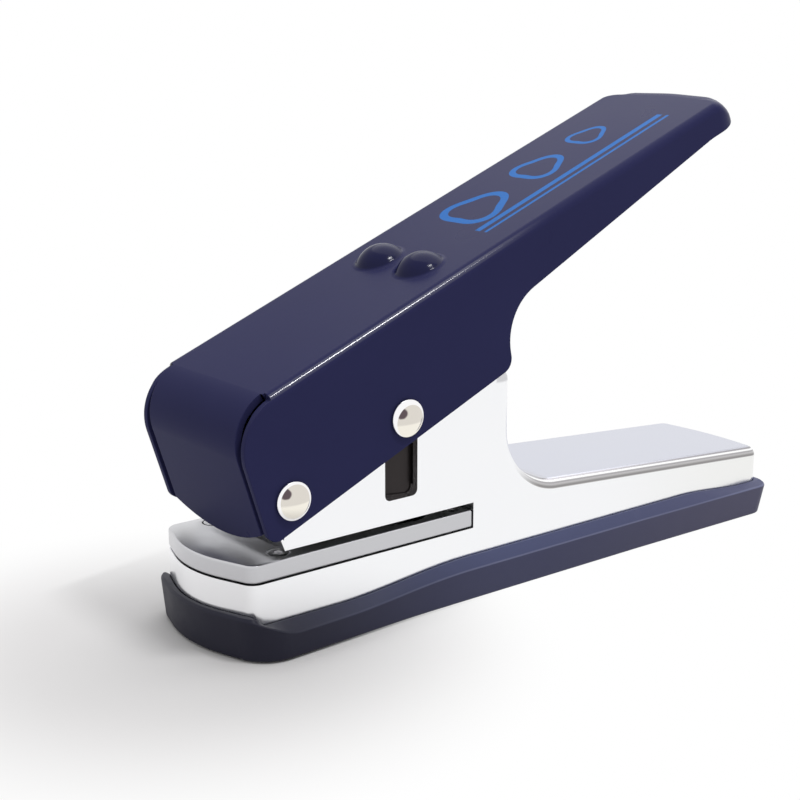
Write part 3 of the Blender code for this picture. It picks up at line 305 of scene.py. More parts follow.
# Stage and light: the floor turns white between two distances from a place on it
FLOOR_SIZE = 4000
FLOOR_PLACE = -15.0
FLOOR_FADE = (25.0, 75.0)
WORLD_LIGHT = 0.62
WORLD_SEEN = 1.0
# Name, place, aim, length, width and watts of each lamp
LAMPS = (
    ("key", (250, 150, 500), (50, 0, 20), 700, 700, 1.5),
    ("line", (88, -218, 505), (50, 0, 30), 120, 22, 0.75))


# Shapes
def rounded(corners, step=ARC_STEP, count=None):
    """A closed outline whose corners, given as (x, y, radius), are rounded by arcs."""
    points = []
    for index, (x, y, radius) in enumerate(corners):
        here = Vector((x, y))
        if radius == 0:
            points.append(here)
            continue
        back = (Vector(corners[index - 1][:2]) - here).normalized()
        ahead = (Vector(corners[(index + 1) % len(corners)][:2]) - here).normalized()
        half = back.angle(ahead) / 2
        centre = here + (back + ahead).normalized() * (radius / math.sin(half))
        reach = radius / math.tan(half)
        start = here + back * reach - centre
        end = here + ahead * reach - centre
        turn = math.atan2(start.x * end.y - start.y * end.x, start.dot(end))
        steps = count or max(1, math.ceil(abs(turn) / step))
        for number in range(steps + 1):
            angle = math.atan2(start.y, start.x) + turn * number / steps
            points.append(centre + Vector((math.cos(angle), math.sin(angle))) * radius)
    return points


def rectangle(left, low, right, high, radius):
    return rounded([(x, y, radius) for x, y in ((left, low), (left, high), (right, high), (right, low))])


def mirrored(corners):
    """A closed outline from its half above the X axis, whose first and last corners lie on it."""
    return list(corners) + [(x, -y, radius) for x, y, radius in reversed(corners[1:-1])]


def offset(points, distance):
    """The outline moved outwards by a distance, or inwards by a negative one."""
    area = sum(points[i - 1].cross(points[i]) for i in range(len(points)))
    side = math.copysign(1, area)
    moved = []
    for index, here in enumerate(points):
        back = (here - points[index - 1]).normalized()
        ahead = (points[(index + 1) % len(points)] - here).normalized()
        first, second = (Vector((leg.y, -leg.x)) * side for leg in (back, ahead))
        moved.append(here + (first + second) * (distance / (1 + first.dot(second))))
    return moved


def ease(value, start, end):
    """0 up to start and 1 from end on, smooth between them."""
    share = min(max((value - start) / (end - start), 0), 1)
    return share * share * (3 - 2 * share)


TURNS = {
    "plan": Matrix.Identity(3),
    "side": CROSSWISE,
    "front": Matrix.Rotation(math.pi / 2, 3, "Z") @ CROSSWISE,
}
PUSHES = {"plan": Vector((0, 0, 1)), "side": Vector((0, 1, 0)), "front": Vector((1, 0, 0))}


def slab(outline, low, high, plane="side"):
    """A flat outline pushed between two distances along the normal of its plane."""
    shape = bmesh.new()
    corners = [shape.verts.new((point[0], point[1], 0)) for point in outline]
    face = shape.faces.new(corners)
    bmesh.ops.rotate(shape, verts=shape.verts, cent=(0, 0, 0), matrix=TURNS[plane])
    bmesh.ops.translate(shape, verts=shape.verts, vec=PUSHES[plane] * low)
    pushed = bmesh.ops.extrude_face_region(shape, geom=[face], use_keep_orig=True)["geom"]
    moved = [item for item in pushed if isinstance(item, bmesh.types.BMVert)]
    bmesh.ops.translate(shape, verts=moved, vec=PUSHES[plane] * (high - low))
    bmesh.ops.recalc_face_normals(shape, faces=shape.faces)
    return shape


def stacked(rings):
    """A solid through rings of (point, height) pairs, from the lowest ring to the innermost one."""
    shape = bmesh.new()
    loops = [[shape.verts.new((*point, height)) for point, height in level] for level in rings]
    for below, above in zip(loops, loops[1:]):
        for index in range(len(below)):
            shape.faces.new((below[index - 1], below[index], above[index], above[index - 1]))
    shape.faces.new(loops[0])
    shape.faces.new(loops[-1])
    bmesh.ops.recalc_face_normals(shape, faces=shape.faces)
    return shape


def block(low, high):
    """A box between two opposite corners."""
    shape = bmesh.new()
    bmesh.ops.create_cube(shape, size=1)
    bmesh.ops.scale(shape, verts=shape.verts, vec=Vector(high) - Vector(low))
    bmesh.ops.translate(shape, verts=shape.verts, vec=(Vector(high) + Vector(low)) / 2)
    return shape


def spun(profile, place, turn=None, sides=64):
    """A profile of (radius, height) points turned round the Z axis, then stood at a place."""
    shape = bmesh.new()
    points = [shape.verts.new((radius, 0, height)) for radius, height in profile]
    edges = [shape.edges.new(pair) for pair in zip(points, points[1:])]
    bmesh.ops.spin(
        shape, geom=points + edges, cent=(0, 0, 0), axis=(0, 0, 1), angle=math.tau, steps=sides,
        use_merge=True)
    bmesh.ops.remove_doubles(shape, verts=shape.verts, dist=0.0005)
    bmesh.ops.recalc_face_normals(shape, faces=shape.faces)
    if turn:
        bmesh.ops.rotate(shape, verts=shape.verts, cent=(0, 0, 0), matrix=turn)
    bmesh.ops.translate(shape, verts=shape.verts, vec=place)
    return shape


def rod(radius, low, high, place, turn=None, sides=64):
    return spun(((0, high), (radius, high), (radius, low), (0, low)), place, turn, sides)


def tube(radius, half, place):
    """A tube with room for a pin, lying across the frame."""
    room = PIN + GAP
    return spun(((room, half), (radius, half), (radius, -half), (room, -half), (room, half)), place, CROSSWISE)


def moved(shape, place):
    bmesh.ops.translate(shape, verts=shape.verts, vec=place)
    return shape


def socket(width, top, place):
    """A hexagonal cut into the head of a screw."""
    corners = [
        Vector((math.cos(math.pi * k / 3), math.sin(math.pi * k / 3))) * width / math.sqrt(3)
        for k in range(6)]
    return moved(slab(corners, top - SOCKET_DEPTH, top + OVERRUN, "plan"), place)


def dome(radius, height, low, fillet=0.0, steps=12):
    """A shallow dome's profile, from its top to its edge or to the end of a fillet round its foot."""
    sphere = (radius ** 2 + height ** 2 - 2 * height * fillet) / (2 * height)
    middle = height - sphere
    sweep = math.atan2(radius, fillet - middle)
    angles = [sweep * step / steps for step in range(steps + 1)]
    cap = [(sphere * math.sin(angle), low + middle + sphere * math.cos(angle)) for angle in angles]
    foot = [(radius - fillet * math.sin(turn), low + fillet * (1 - math.cos(turn))) for turn in angles[:-1]]
    return cap + foot[::-1] if fillet else cap


# Things
def linked(name, data):
    item = bpy.data.objects.new(name, data)
    bpy.context.scene.collection.objects.link(item)
    return item


def thing(name, shape):
    mesh = bpy.data.meshes.new(name)
    shape.to_mesh(mesh)
    shape.free()
    return linked(name, mesh)


def taken(item):
    """The shape of a thing, which goes."""
    shape = bmesh.new()
    shape.from_mesh(item.data)
    bpy.data.objects.remove(item, do_unlink=True)
    return shape


def settled(item):
    """The thing with its modifiers applied and the slivers that they leave closed."""
    bpy.context.view_layer.update()
    graph = bpy.context.evaluated_depsgraph_get()
    mesh = bpy.data.meshes.new_from_object(item.evaluated_get(graph), depsgraph=graph)
    item.modifiers.clear()
    shape = bmesh.new()
    shape.from_mesh(mesh)
    bmesh.ops.remove_doubles(shape, verts=shape.verts, dist=0.001)
    bmesh.ops.dissolve_degenerate(shape, edges=shape.edges, dist=0.0001)
    shape.to_mesh(mesh)
    shape.free()
    item.data = mesh
    return item


def combine(item, operation, shapes):
    for shape in shapes:
        tool = thing("tool", shape)
        change = item.modifiers.new("change", "BOOLEAN")
        change.operation = operation
        change.solver = "EXACT"
        change.object = tool
        settled(item)
        bpy.data.objects.remove(tool, do_unlink=True)
    return item


def cut(item, *shapes):
    """Cuts shapes out of a thing."""
    return combine(item, "DIFFERENCE", shapes)


def join(item, *shapes):
    """Joins shapes to a thing."""
    return combine(item, "UNION", shapes)


def keep(item, *shapes):
    """Keeps what a thing shares with shapes."""
    return combine(item, "INTERSECT", shapes)


def split(item, places):
    """Divides large faces at places along X and in the middle plane, so that they shade evenly."""
    shape = bmesh.new()
    shape.from_mesh(item.data)
    for point, normal in [((x, 0, 0), (1, 0, 0)) for x in places] + [((0, 0, 0), (0, 1, 0))]:
        pieces = shape.verts[:] + shape.edges[:] + shape.faces[:]
        bmesh.ops.bisect_plane(shape, geom=pieces, plane_co=point, plane_no=normal, dist=0.001)
    shape.to_mesh(item.data)
    shape.free()


def bevel(item, width, segments, angle, chosen, miter="MITER_SHARP"):
    """Rounds the edges over an angle in degrees for which chosen(middle, along) holds."""
    shape = bmesh.new()
    shape.from_mesh(item.data)
    weights = shape.edges.layers.float.new("bevel_weight_edge")
    for edge in shape.edges:
        start, end = (vertex.co for vertex in edge.verts)
        if edge.calc_face_angle(0) > math.radians(angle):
            edge[weights] = chosen((start + end) / 2, (end - start).normalized())
    shape.to_mesh(item.data)
    shape.free()
    change = item.modifiers.new("bevel", "BEVEL")
    change.width = width
    change.segments = segments
    change.limit_method = "WEIGHT"
    change.use_clamp_overlap = False
    change.miter_outer = miter
    settled(item)


def soften(item, width=0.0, segments=2, angle=35, chosen=lambda middle, along: True):
    """Breaks the chosen sharp edges where a width is given, and shades the faces smooth."""
    if width:
        bevel(item, width, segments, angle, chosen, "MITER_ARC")
    item.data.shade_smooth()
    item.data.set_sharp_from_angle(angle=math.radians(angle))
    even = item.modifiers.new("even", "WEIGHTED_NORMAL")
    even.keep_sharp = True


def place(item, body, finish, slot, node):
    """Sets a finished thing down in the frame: it rides on a body and stands for a node."""
    if body == "lever":
        item.data.transform(Matrix.Translation(FULCRUM) @ Matrix.Rotation(-LEVER_TILT, 4, "Y"))
    item.data.transform(Matrix.Scale(MM, 4))
    item.data.update()
    item.data.materials.clear()
    item.data.materials.append(finish)
    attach(item, body)
    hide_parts(node)


# Lever
def lever_block(name, profile, inset):
    """The lever's whole body, its top edge bent round, or, with an inset, the hollow in it."""
    item = thing(name, slab(profile, -LEVER_HALF - OVERRUN, LEVER_HALF + OVERRUN))
    front = -PLATE_FRONT - OVERRUN * 2
    plan = rounded(mirrored([
        (front, 0, 0),
        (front, LEVER_HALF, 0),
        (LEVER_LENGTH - END_SWEEP, LEVER_HALF, END_CORNER),
        (LEVER_LENGTH, 0, END_BOW),
    ]), FINE_STEP)
    outline = offset(plan, -inset)
    inwards = [inner - point for inner, point in zip(offset(outline, -1), outline)]
    run = (LEVER_LENGTH - END_RUN, LEVER_LENGTH - LEVER_BEND)
    bends = [LEVER_BEND - inset + (END_BEND - LEVER_BEND) * ease(point.x, *run) for point in plan]
    top = LEVER_TOP - inset
    rings = [[(point, LEVER_DEEP) for point in outline]]
    for step in range(BEND_STEPS + 1):
        turn = math.pi / 2 * step / BEND_STEPS
        rings.append([
            (point + inward * bend * (1 - math.cos(turn)), top - bend * (1 - math.sin(turn)))
            for point, inward, bend in zip(outline, inwards, bends)])
    return keep(item, stacked(rings))


def nose_line(front, height):
    """How far forward the leaning nose stands at a height."""
    return -front + NOSE_LEAN * height


def skirt_line(x):
    """Height of the skirt's lower edge."""
    return SKIRT_LOW - SKIRT_FALL * (SKIRT_END - x) / SKIRT_END


def under_trim():
    """What is cut away below the skirt and the handle."""
    deep = -LEVER_TOP - OVERRUN
    return slab(rounded([
        (-CHIN_RUN, deep, 0),
        (-CHIN_RUN, skirt_line(-CHIN_RUN), 0),
        (SKIRT_END, SKIRT_LOW, HEEL_CORNER),
        (SKIRT_END + HEEL_SWEEP, HANDLE_LOW, HANDLE_HOLLOW),
        (LEVER_LENGTH - LIP_RUN, LIP_LOW, LIP_ROUND),
        (LEVER_LENGTH, LIP_END, 0),
        (LEVER_LENGTH + OVERRUN, LIP_END, 0),
        (LEVER_LENGTH + OVERRUN, deep, 0),
    ]), -LEVER_HALF - OVERRUN, LEVER_HALF + OVERRUN)


def nose_trims():
    """What is cut away at the nose: under the chin, before the strip, the slits, round the plates."""
    across = LEVER_HALF + OVERRUN
    deep = -LEVER_TOP - OVERRUN
    above = LEVER_TOP + OVERRUN
    front = -PLATE_FRONT - OVERRUN * 3
    edge = LEVER_INNER - SLIT / 2
    bow = (LEVER_INNER ** 2 + CHIN_SAG ** 2) / (2 * CHIN_SAG)
    half = math.asin(edge / bow)
    angles = [half * (step / CHIN_STEPS - 1) for step in range(2 * CHIN_STEPS + 1)]
    arc = [Vector((bow * math.sin(angle), bow - CHIN_DEPTH - bow * math.cos(angle))) for angle in angles]
    chin = [Vector((-edge, deep))] + arc + [Vector((edge, deep))]
    strip_top = LEVER_TOP + HAIR
    strip_end = nose_line(STRIP_FRONT, LEVER_TOP) + NOSE_ROUND
    slit_end = strip_end - SLIT_SHORT
    strip = rounded([
        (front, deep, 0),
        (nose_line(STRIP_FRONT, deep), deep, 0),
        (nose_line(STRIP_FRONT, strip_top), strip_top, NOSE_ROUND),
        (strip_end + OVERRUN, strip_top, 0),
        (strip_end + OVERRUN, above, 0),
        (front, above, 0),
    ])
    plate_foot = skirt_line(-PLATE_FRONT) - HAIR
    plate = rounded([
        (front, deep, 0),
        (CHIN_RUN - PLATE_FRONT, deep, 0),
        (CHIN_RUN - PLATE_FRONT, skirt_line(-CHIN_RUN) - HAIR, 0),
        (nose_line(PLATE_FRONT, plate_foot), plate_foot, FOOT_ROUND),
        (nose_line(PLATE_FRONT, PLATE_TOP), PLATE_TOP, NOSE_ROUND),
        (PLATE_BACK, PLATE_TOP, 0),
        (PLATE_BACK + LEVER_TOP - PLATE_TOP, above, 0),
        (front, above, 0),
    ])
    trims = [slab(chin, front, CHIN_LAP - CHIN_RUN, "front"), slab(strip, -edge, edge)]
    for side in (-1, 1):
        outer, inner = side * (LEVER_INNER + HAIR), side * (LEVER_INNER - SLIT)
        slit = ((front, outer), (slit_end, outer), (slit_end, inner), (front, inner))
        trims.append(slab(slit, deep, above, "plan"))
        trims.append(slab(plate, *sorted((side * edge, side * across))))
    return trims


def make_lever(finish):
    low = -LEVER_TOP
    front = -PLATE_FRONT - OVERRUN
    back = LEVER_LENGTH + OVERRUN
    inner_front = STRIP_FRONT - LEVER_SHEET
    inner_top = LEVER_TOP - LEVER_SHEET
    whole = rectangle(front, low, back, LEVER_TOP, 0)
    hollow = rounded([
        (nose_line(inner_front, low - OVERRUN), low - OVERRUN, 0),
        (nose_line(inner_front, inner_top), inner_top, NOSE_ROUND - LEVER_SHEET),
        (back, inner_top, 0),
        (back, low - OVERRUN, 0),
    ])
    lever = lever_block("lever", whole, 0)
    inside = lever_block("lever_inside", hollow, LEVER_SHEET)
    cut(lever, taken(inside), under_trim(), *nose_trims())
    for side in (-1, 1):
        foot = Vector((DOME_PLACE, side * DOME_SIDE, LEVER_TOP))
        outer = dome(*DOME_OUTSIDE, 0.0, DOME_FILLET, DOME_STEPS)
        root = -LEVER_SHEET / 2
        join(lever, spun(outer + [(outer[-1][0], root), (0, root)], foot))
        inner = dome(*DOME_INSIDE, -LEVER_SHEET)
        cut(lever, spun(inner + [(inner[-1][0], -OVERRUN), (0, -OVERRUN)], foot))
    for centre in (Vector(), DRIVE):
        cut(lever, rod(PIN + GAP, -LEVER_HALF * 2, LEVER_HALF * 2, centre, CROSSWISE))
    split(lever, LEVER_SPLITS)

    def chosen(middle, along):
        start, end = SLIT_END_RUN
        return not (start < middle.x < end and middle.z > SLIT_END_LOW and abs(middle.y) > SLIT_END_SIDE)

    soften(lever, 0.22, chosen=chosen)
    place(lever, "lever", finish, "navy_paint", "lever_shell")


def make_rivet(name, centre, chrome, nylon):
    """A rivet, its far end and the two spacers on its pin."""
    seat = LEVER_HALF + GAP
    head = dome(HEAD_RADIUS, HEAD_CROWN, seat + HEAD_EDGE)
    head += [(radius, seat + height) for radius, height in HEAD_RIM]
    tip = -seat - HEAD_EDGE
    pin = thing(name + "_rivet", spun(head + [(PIN, seat), (PIN, tip), (0, tip)], centre, CROSSWISE))
    bore = [(PIN + GAP, seat), (PIN + GAP, seat + CAP_SOCKET), (0, seat + CAP_SOCKET)]
    cap = thing(name + "_rivet_end", spun(head + bore, centre, CROSSBACK))
    for item, node in ((pin, "_pin"), (cap, "_cap")):
        soften(item)
        place(item, "lever", chrome, "chrome_rivet", name + node)
    for number, side in enumerate((-1, 1), 1):
        half = (LEVER_INNER - FRAME_HALF) / 2 - GAP
        middle = Vector((0, side * (LEVER_INNER + FRAME_HALF) / 2, 0))
        washer = thing(f"{name}_spacer_{number}", tube(WASHER_RADIUS, half, centre + middle))
        soften(washer, 0.1)
        place(washer, "lever", nylon, "nylon", f"{name}_washer_{number}")


def make_stop_pad(rubber):
    top = LEVER_TOP - LEVER_SHEET - GAP
    pad = thing("pad", block((PAD_FRONT, -PAD_HALF, PAD_LOW), (NECK_BACK, PAD_HALF, top)))
    soften(pad, 0.6, 4)
    place(pad, "lever", rubber, "rubber_black", "stop_pad")


# Frame
def tail_line(x):
    """Height of the tail's top face."""
    return TAIL_HEIGHT + (TAIL - x) * math.tan(TAIL_SLOPE)


def frame_plan():
    return rounded(mirrored([
        (NOSE, 0, NOSE_BOW),
        (NOSE + NOSE_SWEEP, FRAME_HALF, NOSE_CORNER),
        (TAIL - TAIL_SWEEP, FRAME_HALF, TAIL_CORNER),
        (TAIL + TAIL_REACH, 0, TAIL_BOW),
    ]))


def frame_profile():
    """Side outline of the casting: lower jaw, throat, fulcrum boss, cheeks, neck and tail."""
    rest_normal = math.pi + LEVER_TILT
    rise = Vector((CHEEK_FRONT, CHEEK_TOP - FULCRUM.z))
    cheek_normal = math.atan2(rise.y, rise.x) + math.acos(BOSS / rise.length)
    middle = (rest_normal + cheek_normal) / 2
    peak = BOSS / math.cos((rest_normal - cheek_normal) / 2)
    fall = (THROAT_TOP - FULCRUM.z) * math.sin(LEVER_TILT)
    front, back = NOSE - OVERRUN, TAIL + OVERRUN
    return rounded([
        (front, FRAME_BOTTOM, 0),
        (front, DIE_SEAT, 0),
        (THROAT_BACK, DIE_SEAT, 0),
        (THROAT_BACK, THROAT_TOP, 0),
        ((-BOSS - fall) / math.cos(LEVER_TILT), THROAT_TOP, 0),
        (peak * math.cos(middle), FULCRUM.z + peak * math.sin(middle), BOSS),
        (CHEEK_FRONT, CHEEK_TOP, CHEEK_CORNER),
        (CHAMBER_BACK * CHEEK_LEVEL_SHARE, CHEEK_TOP, CHEEK_BOW),
        (CHAMBER_BACK, NECK_TOP + NECK_CREST, 0),
        (NECK_BACK, NECK_TOP, NECK_CORNER),
        (NECK_BACK, tail_line(NECK_BACK), NECK_FILLET),
        (back, tail_line(back), 0),
        (back, FRAME_BOTTOM, 0),
    ], FINE_STEP)


def frame_hollow():
    """The space under the die, the neck and the tail, open at the bottom."""
    front, back, low = NOSE - OVERRUN, TAIL + OVERRUN, FRAME_BOTTOM - OVERRUN
    core_back = NECK_BACK - FRAME_WALL
    chute_back = THROAT_BACK - CHUTE_WALL
    item = thing("frame_hollow", slab(rounded([
        (front, low, 0),
        (front, DIE_TOP, 0),
        (chute_back, DIE_TOP, 0),
        (chute_back, WEB_FOOT, 0),
        (THROAT_BACK + WEB, WEB_FOOT, 0),
        (THROAT_BACK + WEB, GUIDE_TOP - GUIDE_FLOOR, 0),
        (core_back, GUIDE_TOP - GUIDE_FLOOR, 0),
        (core_back, tail_line(core_back) - FRAME_WALL, NECK_FILLET + FRAME_WALL),
        (back, tail_line(back) - FRAME_WALL, 0),
        (back, low, 0),
    ]), -ACROSS, ACROSS))
    keep(item, slab(offset(frame_plan(), -FRAME_WALL), low - OVERRUN, NECK_TOP, "plan"))
    return taken(item)


def pick_outline():
    half = []
    for shares in PICK_SHARES:
        knots = [Vector((PICK_TIP + x * PICK_LENGTH, y * PICK_HALF)) for x, y in shares]
        half += geometry.interpolate_bezier(*knots, PICK_STEPS)[:-1]
    upper = [Vector(point[:2]) for point in half]
    return upper + [Vector((PICK_BACK, 0))] + [Vector((point.x, -point.y)) for point in reversed(upper[1:])]


def pin_slot(room, low, high, corner):
    """A slot across the frame for the drive pin, with some room before and behind it."""
    front, back = DRIVE_UP[0] - PIN - room[0], DRIVE_DOWN + PIN + room[1]
    return slab(rectangle(front, low, back, high, corner), -ACROSS, ACROSS)


def make_frame(finish):
    casting = thing("casting", slab(frame_profile(), -ACROSS, ACROSS))
    keep(casting, slab(frame_plan(), FRAME_BOTTOM - OVERRUN, CHEEK_TOP + OVERRUN, "plan"))

    def chosen(middle, along):
        """The edges behind the chamber, without the foot and the uprights at the tail."""
        behind = middle.x > CHAMBER_BACK and middle.z > FRAME_BOTTOM + HAIR
        return behind and (abs(along.z) < UPRIGHT or middle.x < NECK_BACK + 1)

    bevel(casting, FRAME_BEND, FRAME_BEND_STEPS, 50, chosen)
    window = pin_slot(WINDOW_PLAY, WINDOW_LOW, DRIVE_UP[1] + PIN + WINDOW_PLAY[2], WINDOW_CORNER)
    cut(
        casting, frame_hollow(),
        block((NOSE - OVERRUN, -FRAME_INNER, GUIDE_TOP), (CHAMBER_BACK, FRAME_INNER, CHEEK_TOP + OVERRUN)),
        slab(offset(pick_outline(), GAP), DIE_TOP, GUIDE_TOP + OVERRUN, "plan"), window,
        rod(PIN + GAP, -ACROSS, ACROSS, FULCRUM, CROSSWISE))
    boss, length = DIE_BOSS
    for x, y in DIE_SCREWS:
        join(casting, rod(boss, DIE_SEAT - length, DIE_SEAT - GAP, (x, y, 0)))
        low, high = DIE_SEAT - length - OVERRUN, DIE_SEAT + OVERRUN
        cut(casting, rod(DIE_SCREW[0] + GAP, low, high, (x, y, 0)))
    for x in SPRINGS:
        low = GUIDE_TOP - SHOULDER_BITE - GAP
        cut(casting, rod(SHOULDER_SCREW[0] + GAP, low, CHEEK_TOP, (x, 0, 0)))
    soften(casting, 0.25)
    place(casting, "frame", finish, "casting", "frame_housing")


def make_screw(name, profile, recess, where, width, body, finish, node):
    """A turned screw with a recess in its head."""
    screw = thing(name, spun(profile, where))
    cut(screw, recess)
    soften(screw, width)
    place(screw, body, finish, "steel", node)


def make_die(finish):
    die = thing("die", slab(frame_plan(), DIE_BOTTOM, DIE_TOP, "plan"))
    cut(die, block((THROAT_BACK - GAP, -ACROSS, 0), (TAIL + OVERRUN, ACROSS, CHEEK_TOP)))
    soften(die, 0.4, 3)
    pick = slab(offset(pick_outline(), GAP), DIE_BOTTOM - OVERRUN, DIE_TOP + OVERRUN, "plan")
    cut(die, pick)
    shank, head = DIE_SCREW
    sink, low = DIE_TOP - DIE_SCREW_SINK, DIE_TOP - DIE_SCREW_LENGTH
    above, below = DIE_TOP + OVERRUN, DIE_BOTTOM - OVERRUN
    for number, (x, y) in enumerate(DIE_SCREWS, 1):
        cut(die, spun((
            (0, above), (head + GAP, above), (head + GAP, DIE_TOP - GAP), (shank + GAP, sink - GAP),
            (shank + GAP, below), (0, below)), (x, y, 0)))
        make_screw(
            f"die_plate_screw_{number}",
            ((0, DIE_TOP), (head, DIE_TOP), (shank, sink), (shank, low), (0, low)),
            socket(DIE_SCREW_SOCKET, DIE_TOP, (x, y, 0)), (x, y, 0), 0.08, "frame", finish,
            f"die_screw_{number}")
    soften(die, 0.06, 1)
    place(die, "frame", finish, "steel", "die_plate")


def make_bush(finish):
    bush = thing("spacer_tube", tube(BUSH_RADIUS, FRAME_INNER - GAP, FULCRUM))
    soften(bush, 0.15)
    place(bush, "frame", finish, "steel", "fulcrum_bush")


# Punch
def make_carrier(finish):
    """The block between punch and drive pin, with an ear over each spring."""
    half = FRAME_INNER - GAP
    ends = (PICK_TIP - CARRIER_END, PICK_BACK + CARRIER_END)
    plan = rectangle(ends[0], -half, ends[1], half, CARRIER_CORNER)
    carrier = thing("carrier", slab(plan, CARRIER_LOW, CARRIER_TOP, "plan"))
    ear_low = CARRIER_TOP - EAR_THICKNESS
    for x, inner in zip(SPRINGS, ends):
        low, high = min(x, inner), max(x, inner)
        ear = block((low, -EAR_HALF, ear_low), (high + HAIR, EAR_HALF, CARRIER_TOP))
        join(carrier, ear, rod(EAR_RADIUS, ear_low, CARRIER_TOP, (x, 0, 0)))
        cut(carrier, rod(SHOULDER_SCREW[0] + GAP, GUIDE_TOP, CHEEK_TOP, (x, 0, 0)))
    cut(carrier, pin_slot(
        (GAP, GAP), DRIVE_UP[1] - PIN - GAP, DRIVE_UP[1] + PIN + GAP, PIN))
    shank, head = PUNCH_SCREW
    for x in PUNCH_SCREWS:
        head_low = CARRIER_TOP - PUNCH_SCREW_HEAD - GAP
        cut(
            carrier, rod(shank + GAP, GUIDE_TOP, CHEEK_TOP, (x, 0, 0)),
            rod(head + GAP, head_low, CHEEK_TOP, (x, 0, 0)))
    split(carrier, PUNCH_SCREWS)
    soften(carrier, 0.2)
    place(carrier, "punch", finish, "zinc_black", "punch_carrier")


def make_punch(finish, screw_finish):
    """The punch, whose face is hollowed so that its two ends cut first, and its screws."""
    punch = thing("cutter", slab(pick_outline(), PUNCH_FACE, CARRIER_LOW - GAP, "plan"))
    radius = ((PICK_LENGTH / 2) ** 2 + PUNCH_HOLLOW ** 2) / (2 * PUNCH_HOLLOW)
    centre = ((PICK_TIP + PICK_BACK) / 2, 0, PUNCH_FACE + PUNCH_HOLLOW - radius)
    cut(punch, rod(radius, -ACROSS, ACROSS, centre, CROSSWISE, HOLLOW_SIDES))
    shank, head = PUNCH_SCREW
    low, seat = CARRIER_TOP - PUNCH_SCREW_LENGTH, CARRIER_TOP - PUNCH_SCREW_HEAD
    for number, x in enumerate(PUNCH_SCREWS, 1):
        cut(punch, rod(shank + GAP, low - GAP, CHEEK_TOP, (x, 0, 0)))
        make_screw(
            f"cutter_screw_{number}",
            ((0, CARRIER_TOP), (head - PUNCH_SCREW_EDGE, CARRIER_TOP),
             (head, CARRIER_TOP - PUNCH_SCREW_EDGE), (head, seat), (shank, seat), (shank, low), (0, low)),
            socket(PUNCH_SCREW_SOCKET, CARRIER_TOP, (x, 0, 0)), (x, 0, 0), 0.06, "punch", screw_finish,
            f"punch_screw_{number}")
    soften(punch, 0.08)
    place(punch, "punch", finish, "tool_steel", "punch_cutter")


def make_springs(finish):
    """The return springs and the shoulder screws inside them."""
    low, high = GUIDE_TOP + GAP, CARRIER_TOP - EAR_THICKNESS - GAP
    steps = SPRING_TURNS * TURN_STEPS
    shank, head = SHOULDER_SCREW
    seat, foot = CARRIER_TOP + GAP, GUIDE_TOP - SHOULDER_BITE
    top = seat + SHOULDER_HEAD
    for number, (name, x) in enumerate(zip(("front_spring", "rear_spring"), SPRINGS), 1):
        shape = bmesh.new()
        turn = Matrix.Translation((SPRING_RADIUS, 0, low + WIRE_RADIUS)) @ Matrix.Rotation(math.pi / 2, 4, "X")
        bmesh.ops.create_circle(shape, cap_ends=True, segments=WIRE_SIDES, radius=WIRE_RADIUS, matrix=turn)
        bmesh.ops.spin(
            shape, geom=shape.verts[:] + shape.edges[:] + shape.faces[:], cent=(0, 0, 0), axis=(0, 0, 1),
            dvec=(0, 0, (high - low - 2 * WIRE_RADIUS) / steps), angle=math.tau * SPRING_TURNS, steps=steps,
            use_duplicate=False)
        bmesh.ops.recalc_face_normals(shape, faces=shape.faces)
        spring = thing(name + "_wire", moved(shape, (x, 0, 0)))
        soften(spring, angle=60)
        place(spring, "frame", finish, "spring_wire", name)
        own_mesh(spring)
        make_screw(
            f"spring_screw_{number}",
            ((0, top), (head - SHOULDER_EDGE, top), (head, top - SHOULDER_EDGE), (head, seat),
             (shank, seat), (shank, foot), (0, foot)),
            block((x - OVERRUN, -SLOT_HALF, top - SLOT_DEPTH), (x + OVERRUN, SLOT_HALF, top + OVERRUN)),
            (x, 0, 0), 0.06, "frame", finish, f"shoulder_screw_{number}")


# Tray
def tray_outline(front, back, widths):
    """The tray's plan outline, with points along its straight legs for the rim's rise and fall."""
    nose, waist, tail = (width / 2 for width in widths)
    nose_bow, nose_round, waist_round, tail_round, tail_bow = TRAY_ROUNDS
    corners = rounded(mirrored([
        (front, 0, nose_bow),
        (front + TRAY_SWEEPS[0], nose, nose_round),
        (TRAY_WAIST[0], waist, waist_round),
        (TRAY_WAIST[1], waist, waist_round),
        (back - TRAY_SWEEPS[1], tail, tail_round),
        (back, 0, tail_bow),
    ]), count=TRAY_ARC_STEPS)
    points = []
    for index, here in enumerate(corners):
        ahead = corners[(index + 1) % len(corners)]
        count = TRAY_LEG_STEPS if (index + 1) % (TRAY_ARC_STEPS + 1) == 0 else 1
        points += [here.lerp(ahead, step / count) for step in range(count)]
    return points


def rim_heights(point):
    """Heights of the rim's outer and inner edge, which rise at the nose and along the sides."""
    side = ease(point.x, *SIDE_RUN)
    outer = RIM_OUTER + NOSE_RISE * ease(point.x, *NOSE_RUN) + SIDE_RISE * side
    inner = RIM_INNER + INNER_NOSE_RISE * ease(point.x, *INNER_NOSE_RUN) + INNER_SIDE_RISE * side
    return outer, inner - TAIL_FALL * ease(point.x, *TAIL_RUN)


def beside_frame(point):
    """A point of the outer edge moved in to the narrow flat land round the frame."""
    share = (point.x - TRAY_FRONT) / (TRAY_BACK - TRAY_FRONT)
    x = share * (TAIL - NOSE + 2 * RIM_LAND) + NOSE - RIM_LAND
    half = FRAME_HALF + RIM_LAND
    return Vector((x, min(max(point.y, -half), half)))


